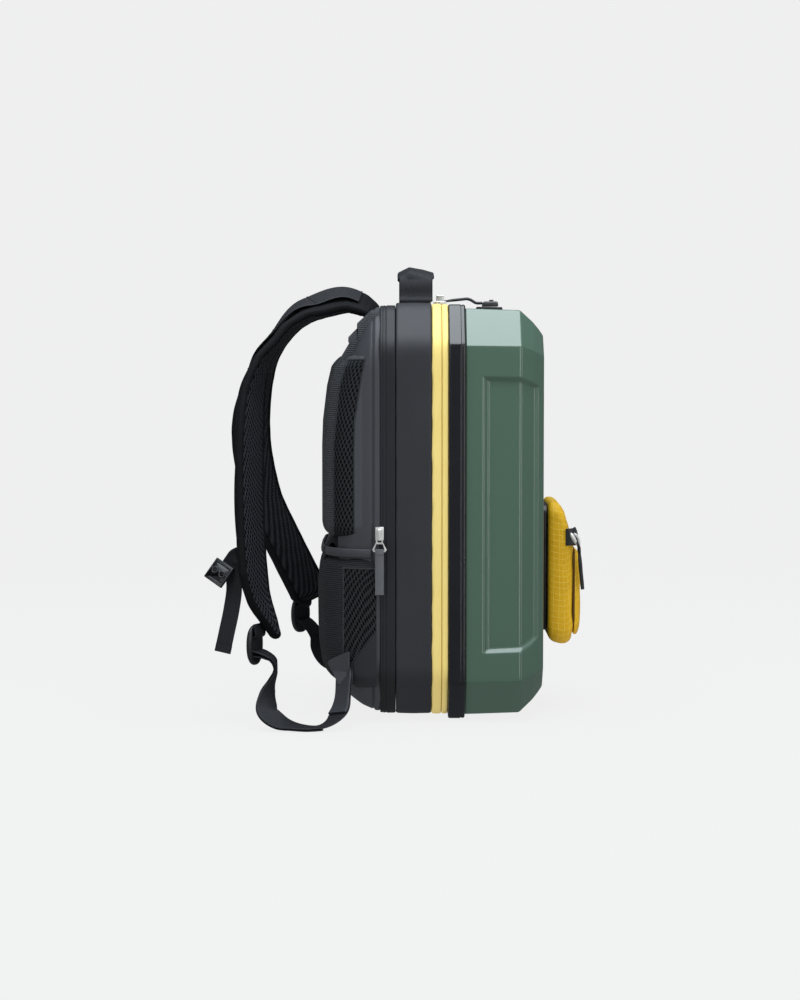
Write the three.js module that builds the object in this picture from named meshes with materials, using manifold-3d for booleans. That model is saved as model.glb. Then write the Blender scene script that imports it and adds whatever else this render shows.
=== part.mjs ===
// Hard shell backpack: a moulded front shell on a black rim, a zipped fabric body,
// a padded back with two shoulder straps, a carry handle, a lock and a small pouch.
// Units are millimetres. +Z is up, -Y is the shell's front, +Y is the wearer's side,
// +X is the wearer's right. The floor is Z = 0 and the rim's middle plane is Y = 0.

import * as THREE from 'three';
import Module from 'manifold-3d';

const wasm = await Module();
wasm.setup();

// Driving sizes
const bodyHeight = 455;
const rimHalfWidth = 155;
const rimHalfDepth = 9.2;
const cornerChamfer = 43;
const hardRadius = 9;
const softRadius = 34;
const cornerSteps = 5;
const fit = 0.3;
const shellWall = 2.5;
const shellInset = 4.5;
const recessDepth = 4.5;
const clothWall = 2.2;
const bodyTop = 457;
const bodyHalfWidth = 153;
const bandFrontY = 27.6;
const bandRearY = 66.6;
const laptopZipRearY = 83.8;
const backFrontY = 84.1;
const backFaceY = 130;
const backWall = 7;
const strapWidth = 63;
const strapThickness = 12;
const webbingWidth = 25;
const webbingThickness = 1.8;
const pullWidth = 9.4;

// Materials: colour, roughness, metalness
const finishes = {
  shellGreen: { color: 0x486454, roughness: 0.38, metalness: 0.0 },
  rimBlack: { color: 0x17181c, roughness: 0.25, metalness: 0.0 },
  zipYellow: { color: 0xf3e48a, roughness: 0.8, metalness: 0.0 },
  bodyBlack: { color: 0x303135, roughness: 0.6, metalness: 0.0 },
  meshBlack: { color: 0x232628, roughness: 0.9, metalness: 0.0 },
  webbingBlack: { color: 0x2b2c30, roughness: 0.8, metalness: 0.0 },
  plasticBlack: { color: 0x1b1c1e, roughness: 0.45, metalness: 0.0 },
  steel: { color: 0xb9babb, roughness: 0.25, metalness: 1.0 },
  tabGrey: { color: 0x54565a, roughness: 0.6, metalness: 0.0 },
  pouchYellow: { color: 0xcfae1e, roughness: 0.75, metalness: 0.0 },
};

// A lump is { points: [[x, y, z], ...], faces: [[a, b, c], ...] }.

// Signed volume of a lump, positive when its faces look outwards.
function signedVolume(lump) {
  let sum = 0;
  for (const [a, b, c] of lump.faces) {
    const [p, q, r] = [lump.points[a], lump.points[b], lump.points[c]];
    sum += p[0] * (q[1] * r[2] - q[2] * r[1]);
    sum += p[1] * (q[2] * r[0] - q[0] * r[2]);
    sum += p[2] * (q[0] * r[1] - q[1] * r[0]);
  }
  return sum / 6;
}

// The same lump with its faces turned to look outwards.
function facingOut(lump) {
  if (signedVolume(lump) > 0) return lump;
  return { points: lump.points, faces: lump.faces.map(([a, b, c]) => [a, c, b]) };
}

// Triangles that fill one flat or nearly flat loop of points.
function capFaces(loop) {
  const normal = new THREE.Vector3();
  loop.forEach((p, i) => {
    const q = loop[(i + 1) % loop.length];
    normal.x += (p[1] - q[1]) * (p[2] + q[2]);
    normal.y += (p[2] - q[2]) * (p[0] + q[0]);
    normal.z += (p[0] - q[0]) * (p[1] + q[1]);
  });
  const size = [Math.abs(normal.x), Math.abs(normal.y), Math.abs(normal.z)];
  const drop = size.indexOf(Math.max(...size));
  const [i, j] = [0, 1, 2].filter((k) => k !== drop);
  const flat = loop.map((p) => new THREE.Vector2(p[i], p[j]));
  const turned = THREE.ShapeUtils.isClockWise(flat);
  const faces = THREE.ShapeUtils.triangulateShape(flat, []);
  return faces.map(([a, b, c]) => (turned ? [a, c, b] : [a, b, c]));
}

// Skin over rows of loops with equal point counts. An endless skin joins its last row to its first.
function loft(rows, endless = false) {
  const count = rows[0].length;
  const points = rows.flat();
  const faces = [];
  const last = endless ? rows.length : rows.length - 1;
  for (let r = 0; r < last; r += 1) {
    const next = (r + 1) % rows.length;
    for (let k = 0; k < count; k += 1) {
      const k2 = (k + 1) % count;
      faces.push([r * count + k, r * count + k2, next * count + k2]);
      faces.push([r * count + k, next * count + k2, next * count + k]);
    }
  }
  if (!endless) addCaps(rows, faces, count);
  return facingOut({ points, faces });
}

// Closes both ends of a loft so that its skin is one closed surface.
function addCaps(rows, faces, count) {
  const used = new Set(faces.map(([a, b]) => `${a},${b}`));
  faces.forEach(([, b, c]) => used.add(`${b},${c}`));
  faces.forEach(([a, , c]) => used.add(`${c},${a}`));
  for (const r of [0, rows.length - 1]) {
    const cap = capFaces(rows[r]).map((face) => face.map((k) => r * count + k));
    const edges = cap.flatMap(([a, b, c]) => [[a, b], [b, c], [c, a]]);
    const clash = edges.some(([a, b]) => used.has(`${a},${b}`));
    cap.forEach(([a, b, c]) => faces.push(clash ? [a, c, b] : [a, b, c]));
  }
}

// Box between two opposite corners.
function box([x0, x1], [y0, y1], [z0, z1]) {
  const row = (z) => [[x0, y0, z], [x1, y0, z], [x1, y1, z], [x0, y1, z]];
  return loft([row(z0), row(z1)]);
}

// Flat profile of [y, z] points carried along X.
function prismAlongX(profile, x0, x1) {
  return loft([x0, x1].map((x) => profile.map(([y, z]) => [x, y, z])));
}

// Flat profile of [x, z] points carried along Y.
function prismAlongY(profile, y0, y1) {
  return loft([y0, y1].map((y) => profile.map(([x, z]) => [x, y, z])));
}

// Centres and angles of the arcs that round one corner, before it is turned into place.
function cornerArcs(radius, chamfer, steps) {
  if (chamfer === undefined) {
    const angles = Array.from({ length: steps + 1 }, (_, k) => (90 * k) / steps);
    return angles.map((angle) => ({ angle, across: radius, down: radius }));
  }
  const reach = chamfer + radius * Math.tan(Math.PI / 8);
  const half = (steps - 1) / 2;
  const angles = Array.from({ length: half + 1 }, (_, k) => (45 * k) / half);
  return [
    ...angles.map((angle) => ({ angle, across: radius, down: reach })),
    ...angles.map((angle) => ({ angle: angle + 45, across: reach, down: radius })),
  ];
}

// Rectangle in the X-Z plane at one depth, with rounded corners or with cut and eased ones.
function outline({ half, low, high, radius, chamfer, y, steps = cornerSteps }) {
  const arcs = cornerArcs(radius, chamfer, steps).map(({ angle, across, down }) => {
    const turn = THREE.MathUtils.degToRad(angle);
    return [half - across + radius * Math.cos(turn), high - down + radius * Math.sin(turn)];
  });
  const middle = (low + high) / 2;
  const upperRight = arcs;
  const upperLeft = arcs.map(([x, z]) => [-x, z]).reverse();
  const lowerLeft = arcs.map(([x, z]) => [-x, 2 * middle - z]);
  const lowerRight = arcs.map(([x, z]) => [x, 2 * middle - z]).reverse();
  return [...upperRight, ...upperLeft, ...lowerLeft, ...lowerRight].map(([x, z]) => [x, y, z]);
}

// How much shorter a cut corner gets for each millimetre that its outline is pulled in.
const chamferLoss = 2 - Math.SQRT2;

// Ring round the bag: a closed section of [inset, y] points swept round the outline.
function bodyRing(section, half, low, high, radius) {
  const rows = section.map(([inset, y]) => outline({
    half: half - inset,
    low: low + inset,
    high: high - inset,
    radius: Math.max(radius - inset, 2),
    chamfer: cornerChamfer - inset * chamferLoss,
    y,
  }));
  return loft(rows, true);
}

// A lump as a boolean solid, and back again.
function toSolid(lump) {
  const vertProperties = new Float32Array(lump.points.flat());
  const triVerts = new Uint32Array(lump.faces.flat());
  return new wasm.Manifold(new wasm.Mesh({ numProp: 3, vertProperties, triVerts }));
}

function fromSolid(solid) {
  const mesh = solid.getMesh();
  const points = [];
  for (let i = 0; i < mesh.vertProperties.length; i += mesh.numProp) {
    points.push(Array.from(mesh.vertProperties.slice(i, i + 3)));
  }
  const faces = [];
  for (let i = 0; i < mesh.triVerts.length; i += 3) {
    faces.push(Array.from(mesh.triVerts.slice(i, i + 3)));
  }
  return { points, faces };
}

// The first lump without the others, and several lumps as one.
function without(lump, ...tools) {
  const result = tools.reduce((left, tool) => left.subtract(toSolid(tool)), toSolid(lump));
  return fromSolid(result);
}

function joined(first, ...others) {
  const result = others.reduce((sum, other) => sum.add(toSolid(other)), toSolid(first));
  return fromSolid(result);
}

// The same lump on the other side of the bag.
function mirrored(lump) {
  return facingOut({ points: lump.points.map(([x, y, z]) => [-x, y, z]), faces: lump.faces });
}

// Moulded shell: rows of { y, inset } from the open edge to the front face.
const shellRows = [
  { y: -9.5, inset: 0 },
  { y: -28.6, inset: 0.5 },
  { y: -33.4, inset: 0.7 },
  { y: -69, inset: 1.8 },
  { y: -83.4, inset: 14.8 },
  { y: -89.6, inset: 22 },
  { y: -95, inset: 29.5 },
  { y: -97.4, inset: 75 },
];

// The recess in each side: how deep it is at each row, and where its two ends sit.
const recessRows = [
  { row: 0, depth: 0, low: 76, lowFloor: 81, highFloor: 372, high: 377 },
  { row: 1, depth: 0, low: 76, lowFloor: 81, highFloor: 372, high: 377 },
  { row: 2, depth: 1, low: 76, lowFloor: 81, highFloor: 372, high: 377 },
  { row: 3, depth: 1, low: 77, lowFloor: 83, highFloor: 371, high: 376 },
  { row: 4, depth: 1, low: 86, lowFloor: 92, highFloor: 365, high: 370 },
  { row: 5, depth: 0, low: 92, lowFloor: 98, highFloor: 360, high: 365 },
  { row: 6, depth: 0, low: 92, lowFloor: 98, highFloor: 360, high: 365 },
  { row: 7, depth: 0, low: 120, lowFloor: 125, highFloor: 333, high: 338 },
];

// One loop of the shell's surface, wall being its distance inside the outer face.
function shellLoop(index, wall) {
  const { y, inset } = shellRows[index];
  const { depth, low, lowFloor, highFloor, high } = recessRows[index];
  const loop = outline({
    half: rimHalfWidth - shellInset - inset - wall,
    low: shellInset + inset + wall,
    high: bodyHeight - shellInset - inset - wall,
    radius: Math.max(hardRadius - shellInset - wall, 2),
    chamfer: Math.max(cornerChamfer - (shellInset + inset + wall) * chamferLoss, 4),
    y: index === 0 ? y : y + wall * (index > 3 ? 1 : 0.2),
  });
  const perCorner = cornerSteps + 1;
  const sideX = loop[0][0];
  const sideY = loop[0][1];
  const sunk = sideX - depth * recessDepth;
  const leftSide = [[-sideX, high], [-sunk, highFloor], [-sunk, lowFloor], [-sideX, low]];
  const rightSide = [[sideX, low], [sunk, lowFloor], [sunk, highFloor], [sideX, high]];
  return [
    ...loop.slice(0, 2 * perCorner),
    ...leftSide.map(([x, z]) => [x, sideY, z]),
    ...loop.slice(2 * perCorner),
    ...rightSide.map(([x, z]) => [x, sideY, z]),
  ];
}

function makeShell() {
  const outer = shellRows.map((_, index) => shellLoop(index, 0));
  const inner = shellRows.map((_, index) => shellLoop(index, shellWall));
  return loft([...inner.reverse(), ...outer]);
}

function makeRim() {
  const section = [
    [0, -rimHalfDepth + 1.5],
    [0, rimHalfDepth - 1.5],
    [1.5, rimHalfDepth],
    [10, rimHalfDepth],
    [10, -rimHalfDepth],
    [1.5, -rimHalfDepth],
  ];
  return bodyRing(section, rimHalfWidth, 0, bodyHeight, hardRadius);
}

// Zip tapes, each bulging gently outwards.
const zipTapes = {
  front: { from: 9.5, to: 16.5, bulge: 1.0 },
  rear: { from: 16.8, to: 27.3, bulge: 1.4 },
};

function makeZipTape({ from, to, bulge }) {
  const section = [
    [bulge, from],
    [0, (from + to) / 2],
    [bulge, to],
    [bulge + clothWall, to],
    [bulge + clothWall, from],
  ];
  return bodyRing(section, bodyHalfWidth, 3.5, bodyHeight + 0.5, softRadius);
}

function makeMainBand() {
  const section = [
    [0.8, bandFrontY],
    [0, bandFrontY + 6],
    [0, bandRearY - 6],
    [0.8, bandRearY],
    [0.8 + clothWall, bandRearY],
    [0.8 + clothWall, bandFrontY],
  ];
  return bodyRing(section, bodyHalfWidth, 4, bodyTop, softRadius);
}

// Laptop zip: two stitched strips with a coil standing proud between them.
function makeLaptopZip() {
  const start = bandRearY + fit;
  const coilFront = 77.8;
  const coilRear = 80.6;
  const section = [
    [2.2, start],
    [1, start + 1.2],
    [1, coilFront - 0.6],
    [0, coilFront],
    [0, coilRear],
    [1, coilRear + 0.6],
    [1, laptopZipRearY],
    [1 + clothWall, laptopZipRearY],
    [2.2 + clothWall, start],
  ];
  return bodyRing(section, bodyHalfWidth, 3.5, bodyTop - 2, softRadius);
}

// Padded back: half width, floor height, top height and corner radius at each depth.
const backRows = [
  { y: backFrontY, half: 152, low: 4, high: 454, radius: 70 },
  { y: 93, half: 150.5, low: 8, high: 448, radius: 66 },
  { y: 104, half: 146, low: 13, high: 430, radius: 60 },
  { y: 118, half: 139, low: 24, high: 400, radius: 52 },
  { y: 127, half: 131, low: 36, high: 380, radius: 44 },
  { y: backFaceY, half: 122, low: 46, high: 368, radius: 36 },
];

// Loops of the back's outer face, moved outwards by a clearance.
function backLoops(clearance) {
  return backRows.map(({ y, half, low, high, radius }) => outline({
    half: half + clearance,
    low: low - clearance,
    high: high + clearance,
    radius: radius + clearance,
    y: y > backFrontY ? y + clearance : y,
  }));
}

function makeBackPanel() {
  const hollow = backRows.slice(0, 4).map(({ y, half, low, high, radius }) => outline({
    half: half - backWall,
    low: low + backWall,
    high: high - backWall * 1.6,
    radius: radius - backWall,
    y,
  }));
  return loft([...hollow.reverse(), ...backLoops(0)]);
}

// Everything filled by the back with a clearance round it, used to trim what lies on it.
function backTool(clearance = fit) {
  return loft(backLoops(clearance));
}

// Ribbed top pad: three cloth layers lying in steps down the sloping top of the back.
const ribSteps = [
  { y0: 90, z0: 446, y1: 106, z1: 433 },
  { y0: 104, z0: 428, y1: 115.5, z1: 418 },
  { y0: 112, z0: 414, y1: 126, z1: 392 },
];

const topPadHalfWidth = 118;

// Side profile of the top pad, moved outwards by a clearance.
function topPadProfile(clearance) {
  const reach = 3 + clearance;
  const side = ribSteps.flatMap(({ y0, z0, y1, z1 }) => [
    [y0 + reach, z0 + reach],
    [y1 + reach, z1 + clearance],
  ]);
  const rear = 130.5 + clearance;
  const foot = 384 - clearance;
  const head = 88 - clearance;
  return [[head, 440], [head, 449 + clearance], ...side, [rear, foot], [122, foot]];
}

function makeTopPad() {
  return without(prismAlongX(topPadProfile(0), -topPadHalfWidth, topPadHalfWidth), backTool());
}

// Cross-section of a side pad: [distance from the middle, y], from the bag's side to its middle.
const padSection = [
  [146.8, 103],
  [142.5, 118],
  [134, 132],
  [112, 143],
  [62, 149],
  [28, 147],
  [14, 139],
];

// Heights of the upper pad's rows, with how far each row is pulled in.
const upperPadRows = [
  { z: 201, inset: 24 },
  { z: 206, inset: 12 },
  { z: 217, inset: 0 },
  { z: 300, inset: 0 },
  { z: 328, inset: 1.5 },
  { z: 366, inset: 8 },
  { z: 387, inset: 15 },
  { z: 397, inset: 24 },
  { z: 402, inset: 34 },
];

// Closed loop of a pad's cross-section, pulled towards the middle of the pad's face.
function padLoop(section, z, inset) {
  const bedY = 88;
  const loop = section.map(([x, y]) => [
    Math.max(x - inset * 0.4, 20 - inset * 0.2),
    Math.max(y - inset * 0.7, bedY + 4 + (y - bedY) * 0.1),
  ]);
  const close = [[section[section.length - 1][0], bedY], [section[0][0] - inset * 0.4, bedY]];
  return [...loop, ...close].map(([x, y]) => [x, y, z]);
}

function makeUpperPad() {
  const pad = loft(upperPadRows.map(({ z, inset }) => padLoop(padSection, z, inset)));
  return without(pad, backTool(), box([0, 200], [80, 131], [379, 470]));
}

// Lumbar pad: side profile of [y, z], rounded at its ends, and cut away under its lower corners.
const lumbarRows = [
  { z: 34, half: 96, rear: 128 },
  { z: 44, half: 110, rear: 140 },
  { z: 60, half: 122, rear: 148 },
  { z: 84, half: 140, rear: 152 },
  { z: 104, half: 147, rear: 153 },
  { z: 172, half: 147.5, rear: 152 },
  { z: 180, half: 147, rear: 149 },
];

function lumbarLoop({ z, half, rear }) {
  const side = [
    [half, 96],
    [half - 3, 112],
    [half - 12, rear - 22],
    [half - 34, rear - 8],
    [half - 78, rear],
  ];
  const left = side.map(([x, y]) => [-x, y]).reverse();
  return [...side, ...left].map(([x, y]) => [x, y, z]);
}

const sleeve = { halfWidth: 95, front: 130.9, rear: 141.5 };

function sleeveSlot() {
  const { halfWidth, front, rear } = sleeve;
  return box([-halfWidth, halfWidth], [front - 8, rear], [20, 200]);
}

function makeLumbarPad() {
  const pad = loft(lumbarRows.map(lumbarLoop));
  return without(pad, backTool(), sleeveSlot());
}

// Hem band across the top of the lumbar pad, round the mouth of the sleeve.
function makeSleeveHem() {
  const rows = [180.3, 190].map((z) => lumbarLoop({ z, half: 147, rear: 147 }));
  return without(loft(rows), backTool(), sleeveSlot());
}

// Strip along a path. Each station is [x, y, z, width direction x, y, z].
function strip(stations, samples, width, thickness, tip = { length: 0 }) {
  const curves = strapCurves(stations);
  const rows = [];
  for (let i = 0; i <= samples; i += 1) {
    const t = i / samples;
    const frame = strapFrame(curves, t);
    const share = tipShare(t, tip);
    if (share < 1) frame.centre.addScaledVector(frame.across, tip.lean * (1 - share) * width / 2);
    rows.push(stripLoop(frame, width * share, thickness));
  }
  return loft(rows);
}

// How wide a padded strip still is near its lower end.
function tipShare(t, { length, narrow }) {
  if (length === 0 || 1 - t >= length) return 1;
  const edge = (1 - t) / length;
  return narrow + (1 - narrow) * Math.sqrt(1 - (1 - edge) ** 2);
}

// Cross-section of a strip: four corners when thin, eight when padded.
function stripLoop(frame, width, thickness) {
  const { centre, across, outward } = frame;
  const [w, h] = [width / 2, thickness / 2];
  if (thickness < 6) return bandLoop(frame, width, -h, h);
  const padded = [
    [-w, -h * 0.35], [-w * 0.86, -h], [w * 0.86, -h], [w, -h * 0.35],
    [w, h * 0.35], [w * 0.86, h], [-w * 0.86, h], [-w, h * 0.35],
  ];
  return padded.map(([a, b]) => centre.clone()
    .addScaledVector(across, a)
    .addScaledVector(outward, b)
    .toArray());
}

const strapSamples = 36;

// Lower ends of the straps: share of the length that narrows, width left, lean to one side.
const strapTips = {
  left: { length: 0.13, narrow: 0.25, lean: 1 },
  right: { length: 0.07, narrow: 0.35, lean: 0 },
};

// Shoulder strap centre lines: x, y, z, then the direction across the strap.
const leftStrap = [
  [-70, 84, 436, 0.97, -0.05, 0.24],
  [-70, 93, 447.5, 0.97, -0.05, 0.24],
  [-70, 104, 455.5, 0.95, 0, 0.31],
  [-71, 122, 460, 0.95, 0, 0.31],
  [-76, 145, 456, 0.95, 0, 0.31],
  [-82, 167, 448, 0.95, -0.05, 0.3],
  [-88, 183, 434, 0.96, -0.1, 0.25],
  [-96, 197, 415, 0.98, -0.15, 0.15],
  [-104, 210, 396, 0.99, -0.12, 0.05],
  [-112, 217, 378, 0.98, -0.2, 0],
  [-120, 222, 356, 0.95, -0.3, 0],
  [-132, 225, 318, 0.9, -0.43, 0],
  [-142, 226, 265, 0.875, -0.485, 0],
  [-148, 224.5, 208, 0.875, -0.485, 0],
  [-152, 222, 168, 0.875, -0.485, 0],
  [-154, 217, 135, 0.9, -0.43, 0.1],
  [-155, 210, 113.5, 0.92, -0.38, 0.15],
  [-156, 204, 103, 0.92, -0.38, 0.15],
];

const rightStrap = [
  [70, 84, 436, 0.97, 0.05, -0.24],
  [70, 93, 447.5, 0.97, 0.05, -0.24],
  [70, 104, 455.5, 0.95, 0, -0.31],
  [71, 122, 460, 0.95, 0, -0.31],
  [76, 145, 456, 0.95, 0, -0.31],
  [80, 167, 449, 0.95, -0.05, -0.3],
  [84, 184, 438, 0.96, -0.1, -0.25],
  [89, 202, 418, 0.98, -0.15, -0.15],
  [94, 217, 394, 0.96, -0.25, -0.05],
  [98, 228, 366, 0.9, -0.43, 0],
  [100, 236, 328, 0.8, -0.6, 0],
  [99, 236, 293, 0.77, -0.64, 0],
  [98, 230, 258, 0.77, -0.64, 0],
  [97, 221.8, 228, 0.77, -0.64, 0],
  [97, 205.5, 193, 0.77, -0.64, 0],
  [97, 188, 157.5, 0.77, -0.64, 0],
  [98, 170.4, 122, 0.77, -0.64, 0],
  [98, 166, 110, 0.77, -0.64, 0],
];

function makeStrap(stations, tip) {
  const rootTool = box([-200, 200], [0, 90], [300, 500]);
  const padded = strip(stations, strapSamples, strapWidth, strapThickness, tip);
  const padTool = prismAlongX(topPadProfile(fit), -topPadHalfWidth - fit, topPadHalfWidth + fit);
  return without(padded, backTool(), rootTool, padTool);
}

// Smooth centre line and width direction through a strap's stations.
function strapCurves(stations) {
  const centres = stations.map(([x, y, z]) => new THREE.Vector3(x, y, z));
  const across = stations.map(([, , , x, y, z]) => new THREE.Vector3(x, y, z));
  return {
    path: new THREE.CatmullRomCurve3(centres, false, 'centripetal'),
    turn: new THREE.CatmullRomCurve3(across, false, 'catmullrom'),
  };
}

// Centre, width direction and outward direction of a strap at one place along it.
function strapFrame({ path, turn }, t) {
  const centre = path.getPoint(t);
  const tangent = path.getTangent(t);
  const across = turn.getPoint(t);
  across.addScaledVector(tangent, -across.dot(tangent)).normalize();
  const outward = new THREE.Vector3().crossVectors(across, tangent).normalize();
  return { centre, across, outward };
}

// Rectangle across a frame: width, and the near and far sides measured outwards.
function bandLoop({ centre, across, outward }, width, near, far) {
  const w = width / 2;
  return [[-w, near], [w, near], [w, far], [-w, far]].map(([a, b]) => centre.clone()
    .addScaledVector(across, a)
    .addScaledVector(outward, b)
    .toArray());
}

// Webbing on the strap's outer face, standing off in loops between its stitched bars.
const webbingLoops = {
  rows: 60, first: 8, last: 54, perLoop: 8, rise: 2.2, stand: 0.6, width: 38,
};

function strapWebbing(stations, grow) {
  const { rows: rowCount, first, last, perLoop, rise, stand, width } = webbingLoops;
  const curves = strapCurves(stations);
  const rows = [];
  for (let i = first; i <= last; i += 1) {
    const t = i / rowCount;
    const wave = Math.sin((Math.PI * (i - first)) / perLoop) ** 2;
    const lift = strapThickness / 2 + stand + rise * wave;
    const far = lift + webbingThickness + grow;
    rows.push(bandLoop(strapFrame(curves, t), width + 2 * grow, lift - grow, far));
  }
  return loft(rows);
}

function makeStrapWebbing(stations, tip) {
  const strapTool = strip(stations, strapSamples, strapWidth, strapThickness + 2 * fit, tip);
  return without(strapWebbing(stations, 0), strapTool);
}

// Frame at a strap's lower end: x across the strap, y outwards, z up.
function endFrame(stations) {
  const { centre, across, outward } = strapFrame(strapCurves(stations), 1);
  const side = new THREE.Vector3(across.x, across.y, 0).normalize();
  const out = new THREE.Vector3(outward.x, outward.y, 0);
  out.addScaledVector(side, -out.dot(side)).normalize();
  const up = new THREE.Vector3(0, 0, 1);
  const matrix = new THREE.Matrix4().makeBasis(side, out, up);
  return matrix.setPosition(centre);
}

function moved(lump, matrix) {
  const points = lump.points.map((p) => new THREE.Vector3(...p).applyMatrix4(matrix).toArray());
  return facingOut({ points, faces: lump.faces });
}

// Ladder lock: a bowed plate with two slots, hung outside the strap's end.
const ladderLock = { halfWidth: 16, halfHeight: 22, out: 17, down: 17, slotLow: 4.5, slotHigh: 9.5 };

function makeLadderLock(stations) {
  const { halfWidth, halfHeight, out, down, slotLow, slotHigh } = ladderLock;
  const corners = [[-0.7, -1], [0.7, -1], [1, -0.6], [1, 0.6], [0.7, 1], [-0.7, 1], [-1, 0.6], [-1, -0.6]];
  const bow = [
    { y: -3, scale: 0.9 },
    { y: -1, scale: 1 },
    { y: 1, scale: 0.98 },
    { y: 4, scale: 0.8 },
    { y: 5.5, scale: 0.6 },
  ];
  const rows = bow.map(({ y, scale }) =>
    corners.map(([x, z]) => [x * scale * halfWidth, out + y, z * scale * halfHeight - down]));
  const slotHalf = webbingWidth / 2 + fit;
  const slots = [1, -1].map((side) => {
    const ends = [side * slotLow - down, side * slotHigh - down].sort((a, b) => a - b);
    return box([-slotHalf, slotHalf], [out - 9, out + 9], ends);
  });
  return moved(without(loft(rows), ...slots), endFrame(stations));
}

// Ribbon of webbing along [y, z] points in the frame of a strap's end.
function endRibbon(line, thickness) {
  const w = webbingWidth / 2;
  const rows = line.map(([y, z], i) => {
    const before = line[Math.max(i - 1, 0)];
    const after = line[Math.min(i + 1, line.length - 1)];
    const [dy, dz] = [after[0] - before[0], after[1] - before[1]];
    const size = Math.hypot(dy, dz) / (thickness / 2);
    const [ny, nz] = [-dz / size, dy / size];
    return [[-w, y - ny, z - nz], [w, y - ny, z - nz], [w, y + ny, z + nz], [-w, y + ny, z + nz]];
  });
  return loft(rows);
}

// Short webbing from the strap's outer face to the lock's upper slot.
function makeLockTab(stations, startOut) {
  const line = [[startOut, 6.5], [startOut * 0.5 + 5, 2], [10.5, -6], [15.5, -10.2]];
  return moved(endRibbon(line, webbingThickness), endFrame(stations));
}

// Lower webbing: out of the lock's lower slot, then along stations to the bag's lower corner.
const leftWebbing = [
  [-157, 199, 71, 1, -0.1, 0],
  [-160, 196, 60, 1, 0, 0],
  [-171, 199, 45, 0.95, -0.2, 0],
  [-186, 203, 31, 0.8, -0.6, 0],
  [-199, 203, 20, 0.7, -0.6, 0.35],
  [-206, 193, 11, 0.8, -0.35, 0.45],
  [-208, 177, 4.6, 0.95, -0.1, 0.15],
  [-208, 158, 1.6, 1, 0, 0],
  [-205, 142, 1.6, 1, 0, 0],
  [-196, 131, 8, 0.95, 0, 0.3],
  [-180, 124, 20, 0.6, -0.3, 0.7],
  [-163, 118, 34, 0, -0.9, 0.4],
  [-150.5, 115, 48, -0.4, -0.9, 0.1],
  [-147, 113.4, 58, -0.447, -0.894, 0],
  [-146.2, 113, 68, -0.447, -0.894, 0],
];

const rightWebbing = [
  [101, 160, 66, 0.9, -0.4, 0],
  [105, 156, 56, 0.9, -0.4, 0],
  [114, 152, 47, 0.7, -0.7, 0],
  [128, 143, 42, 0.5, -0.85, 0.1],
  [141, 127, 44, 0.5, -0.85, 0.1],
  [147.4, 115, 52, 0.447, -0.894, 0],
  [146.2, 113, 62, 0.447, -0.894, 0],
];

function makeLowerWebbing(strap, stations, samples) {
  const frame = endFrame(strap);
  const { out, down, slotLow, slotHigh } = ladderLock;
  const side = new THREE.Vector3().setFromMatrixColumn(frame, 0).toArray();
  const slotZ = -down - (slotLow + slotHigh) / 2;
  const entry = [[out + 1, slotZ], [out - 5, slotZ + 0.5]].map(([y, z]) => {
    const place = new THREE.Vector3(0, y, z).applyMatrix4(frame);
    return [...place.toArray(), ...side];
  });
  return strip([...entry, ...stations], samples, webbingWidth, webbingThickness);
}

// Cloth patch on the back's lower corner that holds the webbing's end.
const cornerPatch = { x: [-160, -128], y: [100, 116], z: [52, 76], thickness: 1.7 };

function makeCornerPatch() {
  const { x, y, z, thickness } = cornerPatch;
  const skin = toSolid(backTool(fit + thickness)).intersect(toSolid(box(x, y, z)));
  return fromSolid(skin.subtract(toSolid(backTool(fit))));
}

// Chest strap half on the left strap: webbing, square buckle and a hanging tail.
const chestFrame = {
  centre: [-156.8, 257.4, 165],
  up: [0.1, -0.57, 0.81],
  across: [0.483, 0.732, 0.455],
};
const chestWebbingWidth = 19;

// Chest webbing out of the strap's webbing to the buckle, then the tail below the buckle.
const chestLead = [
  [-144.3, 233.3, 184, 0, 0, 1],
  [-150.6, 239.6, 181.5, 0.1, 0.25, 0.97],
];
const chestTail = [
  [-161, 254, 88, 0.4, 0.9, 0.2],
  [-158, 256, 112, 0.42, 0.88, 0.25],
  [-152, 261, 136, 0.47, 0.78, 0.42],
];
const buckleHalf = 12.5;
const slotMiddle = 5.25;
const leadEntry = [[11.5, 7.5], [6.5, 5], [slotMiddle, 0]];
const tailEntry = [[-9, 7], [-slotMiddle, 1.5]];

// Stations at [y, z] places in the buckle's own frame, behind it and into one of its slots.
function slotStations(line) {
  const matrix = chestMatrix();
  const side = new THREE.Vector3().setFromMatrixColumn(matrix, 0).toArray();
  return line.map(([y, z]) => [...new THREE.Vector3(0, y, z).applyMatrix4(matrix), ...side]);
}

function makeChestLead() {
  const stations = [...chestLead, ...slotStations(leadEntry)];
  const lead = strip(stations, 12, chestWebbingWidth, webbingThickness);
  return without(lead, strapWebbing(leftStrap, fit));
}

function makeChestTail() {
  const stations = [...chestTail, ...slotStations(tailEntry)];
  return strip(stations, 8, chestWebbingWidth, webbingThickness);
}

function chestMatrix() {
  const side = new THREE.Vector3(...chestFrame.across).normalize();
  const up = new THREE.Vector3(...chestFrame.up);
  up.addScaledVector(side, -up.dot(side)).normalize();
  const face = new THREE.Vector3().crossVectors(side, up);
  const matrix = new THREE.Matrix4().makeBasis(side, up, face);
  return matrix.setPosition(...chestFrame.centre);
}

function makeChestBuckle() {
  const frame = box([-buckleHalf, buckleHalf], [-buckleHalf, buckleHalf], [-2, 2]);
  const slots = [[2, 8.5], [-8.5, -2]].map((y) => box([-10.3, 10.3], y, [-9, 9]));
  return moved(without(frame, ...slots), chestMatrix());
}

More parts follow.
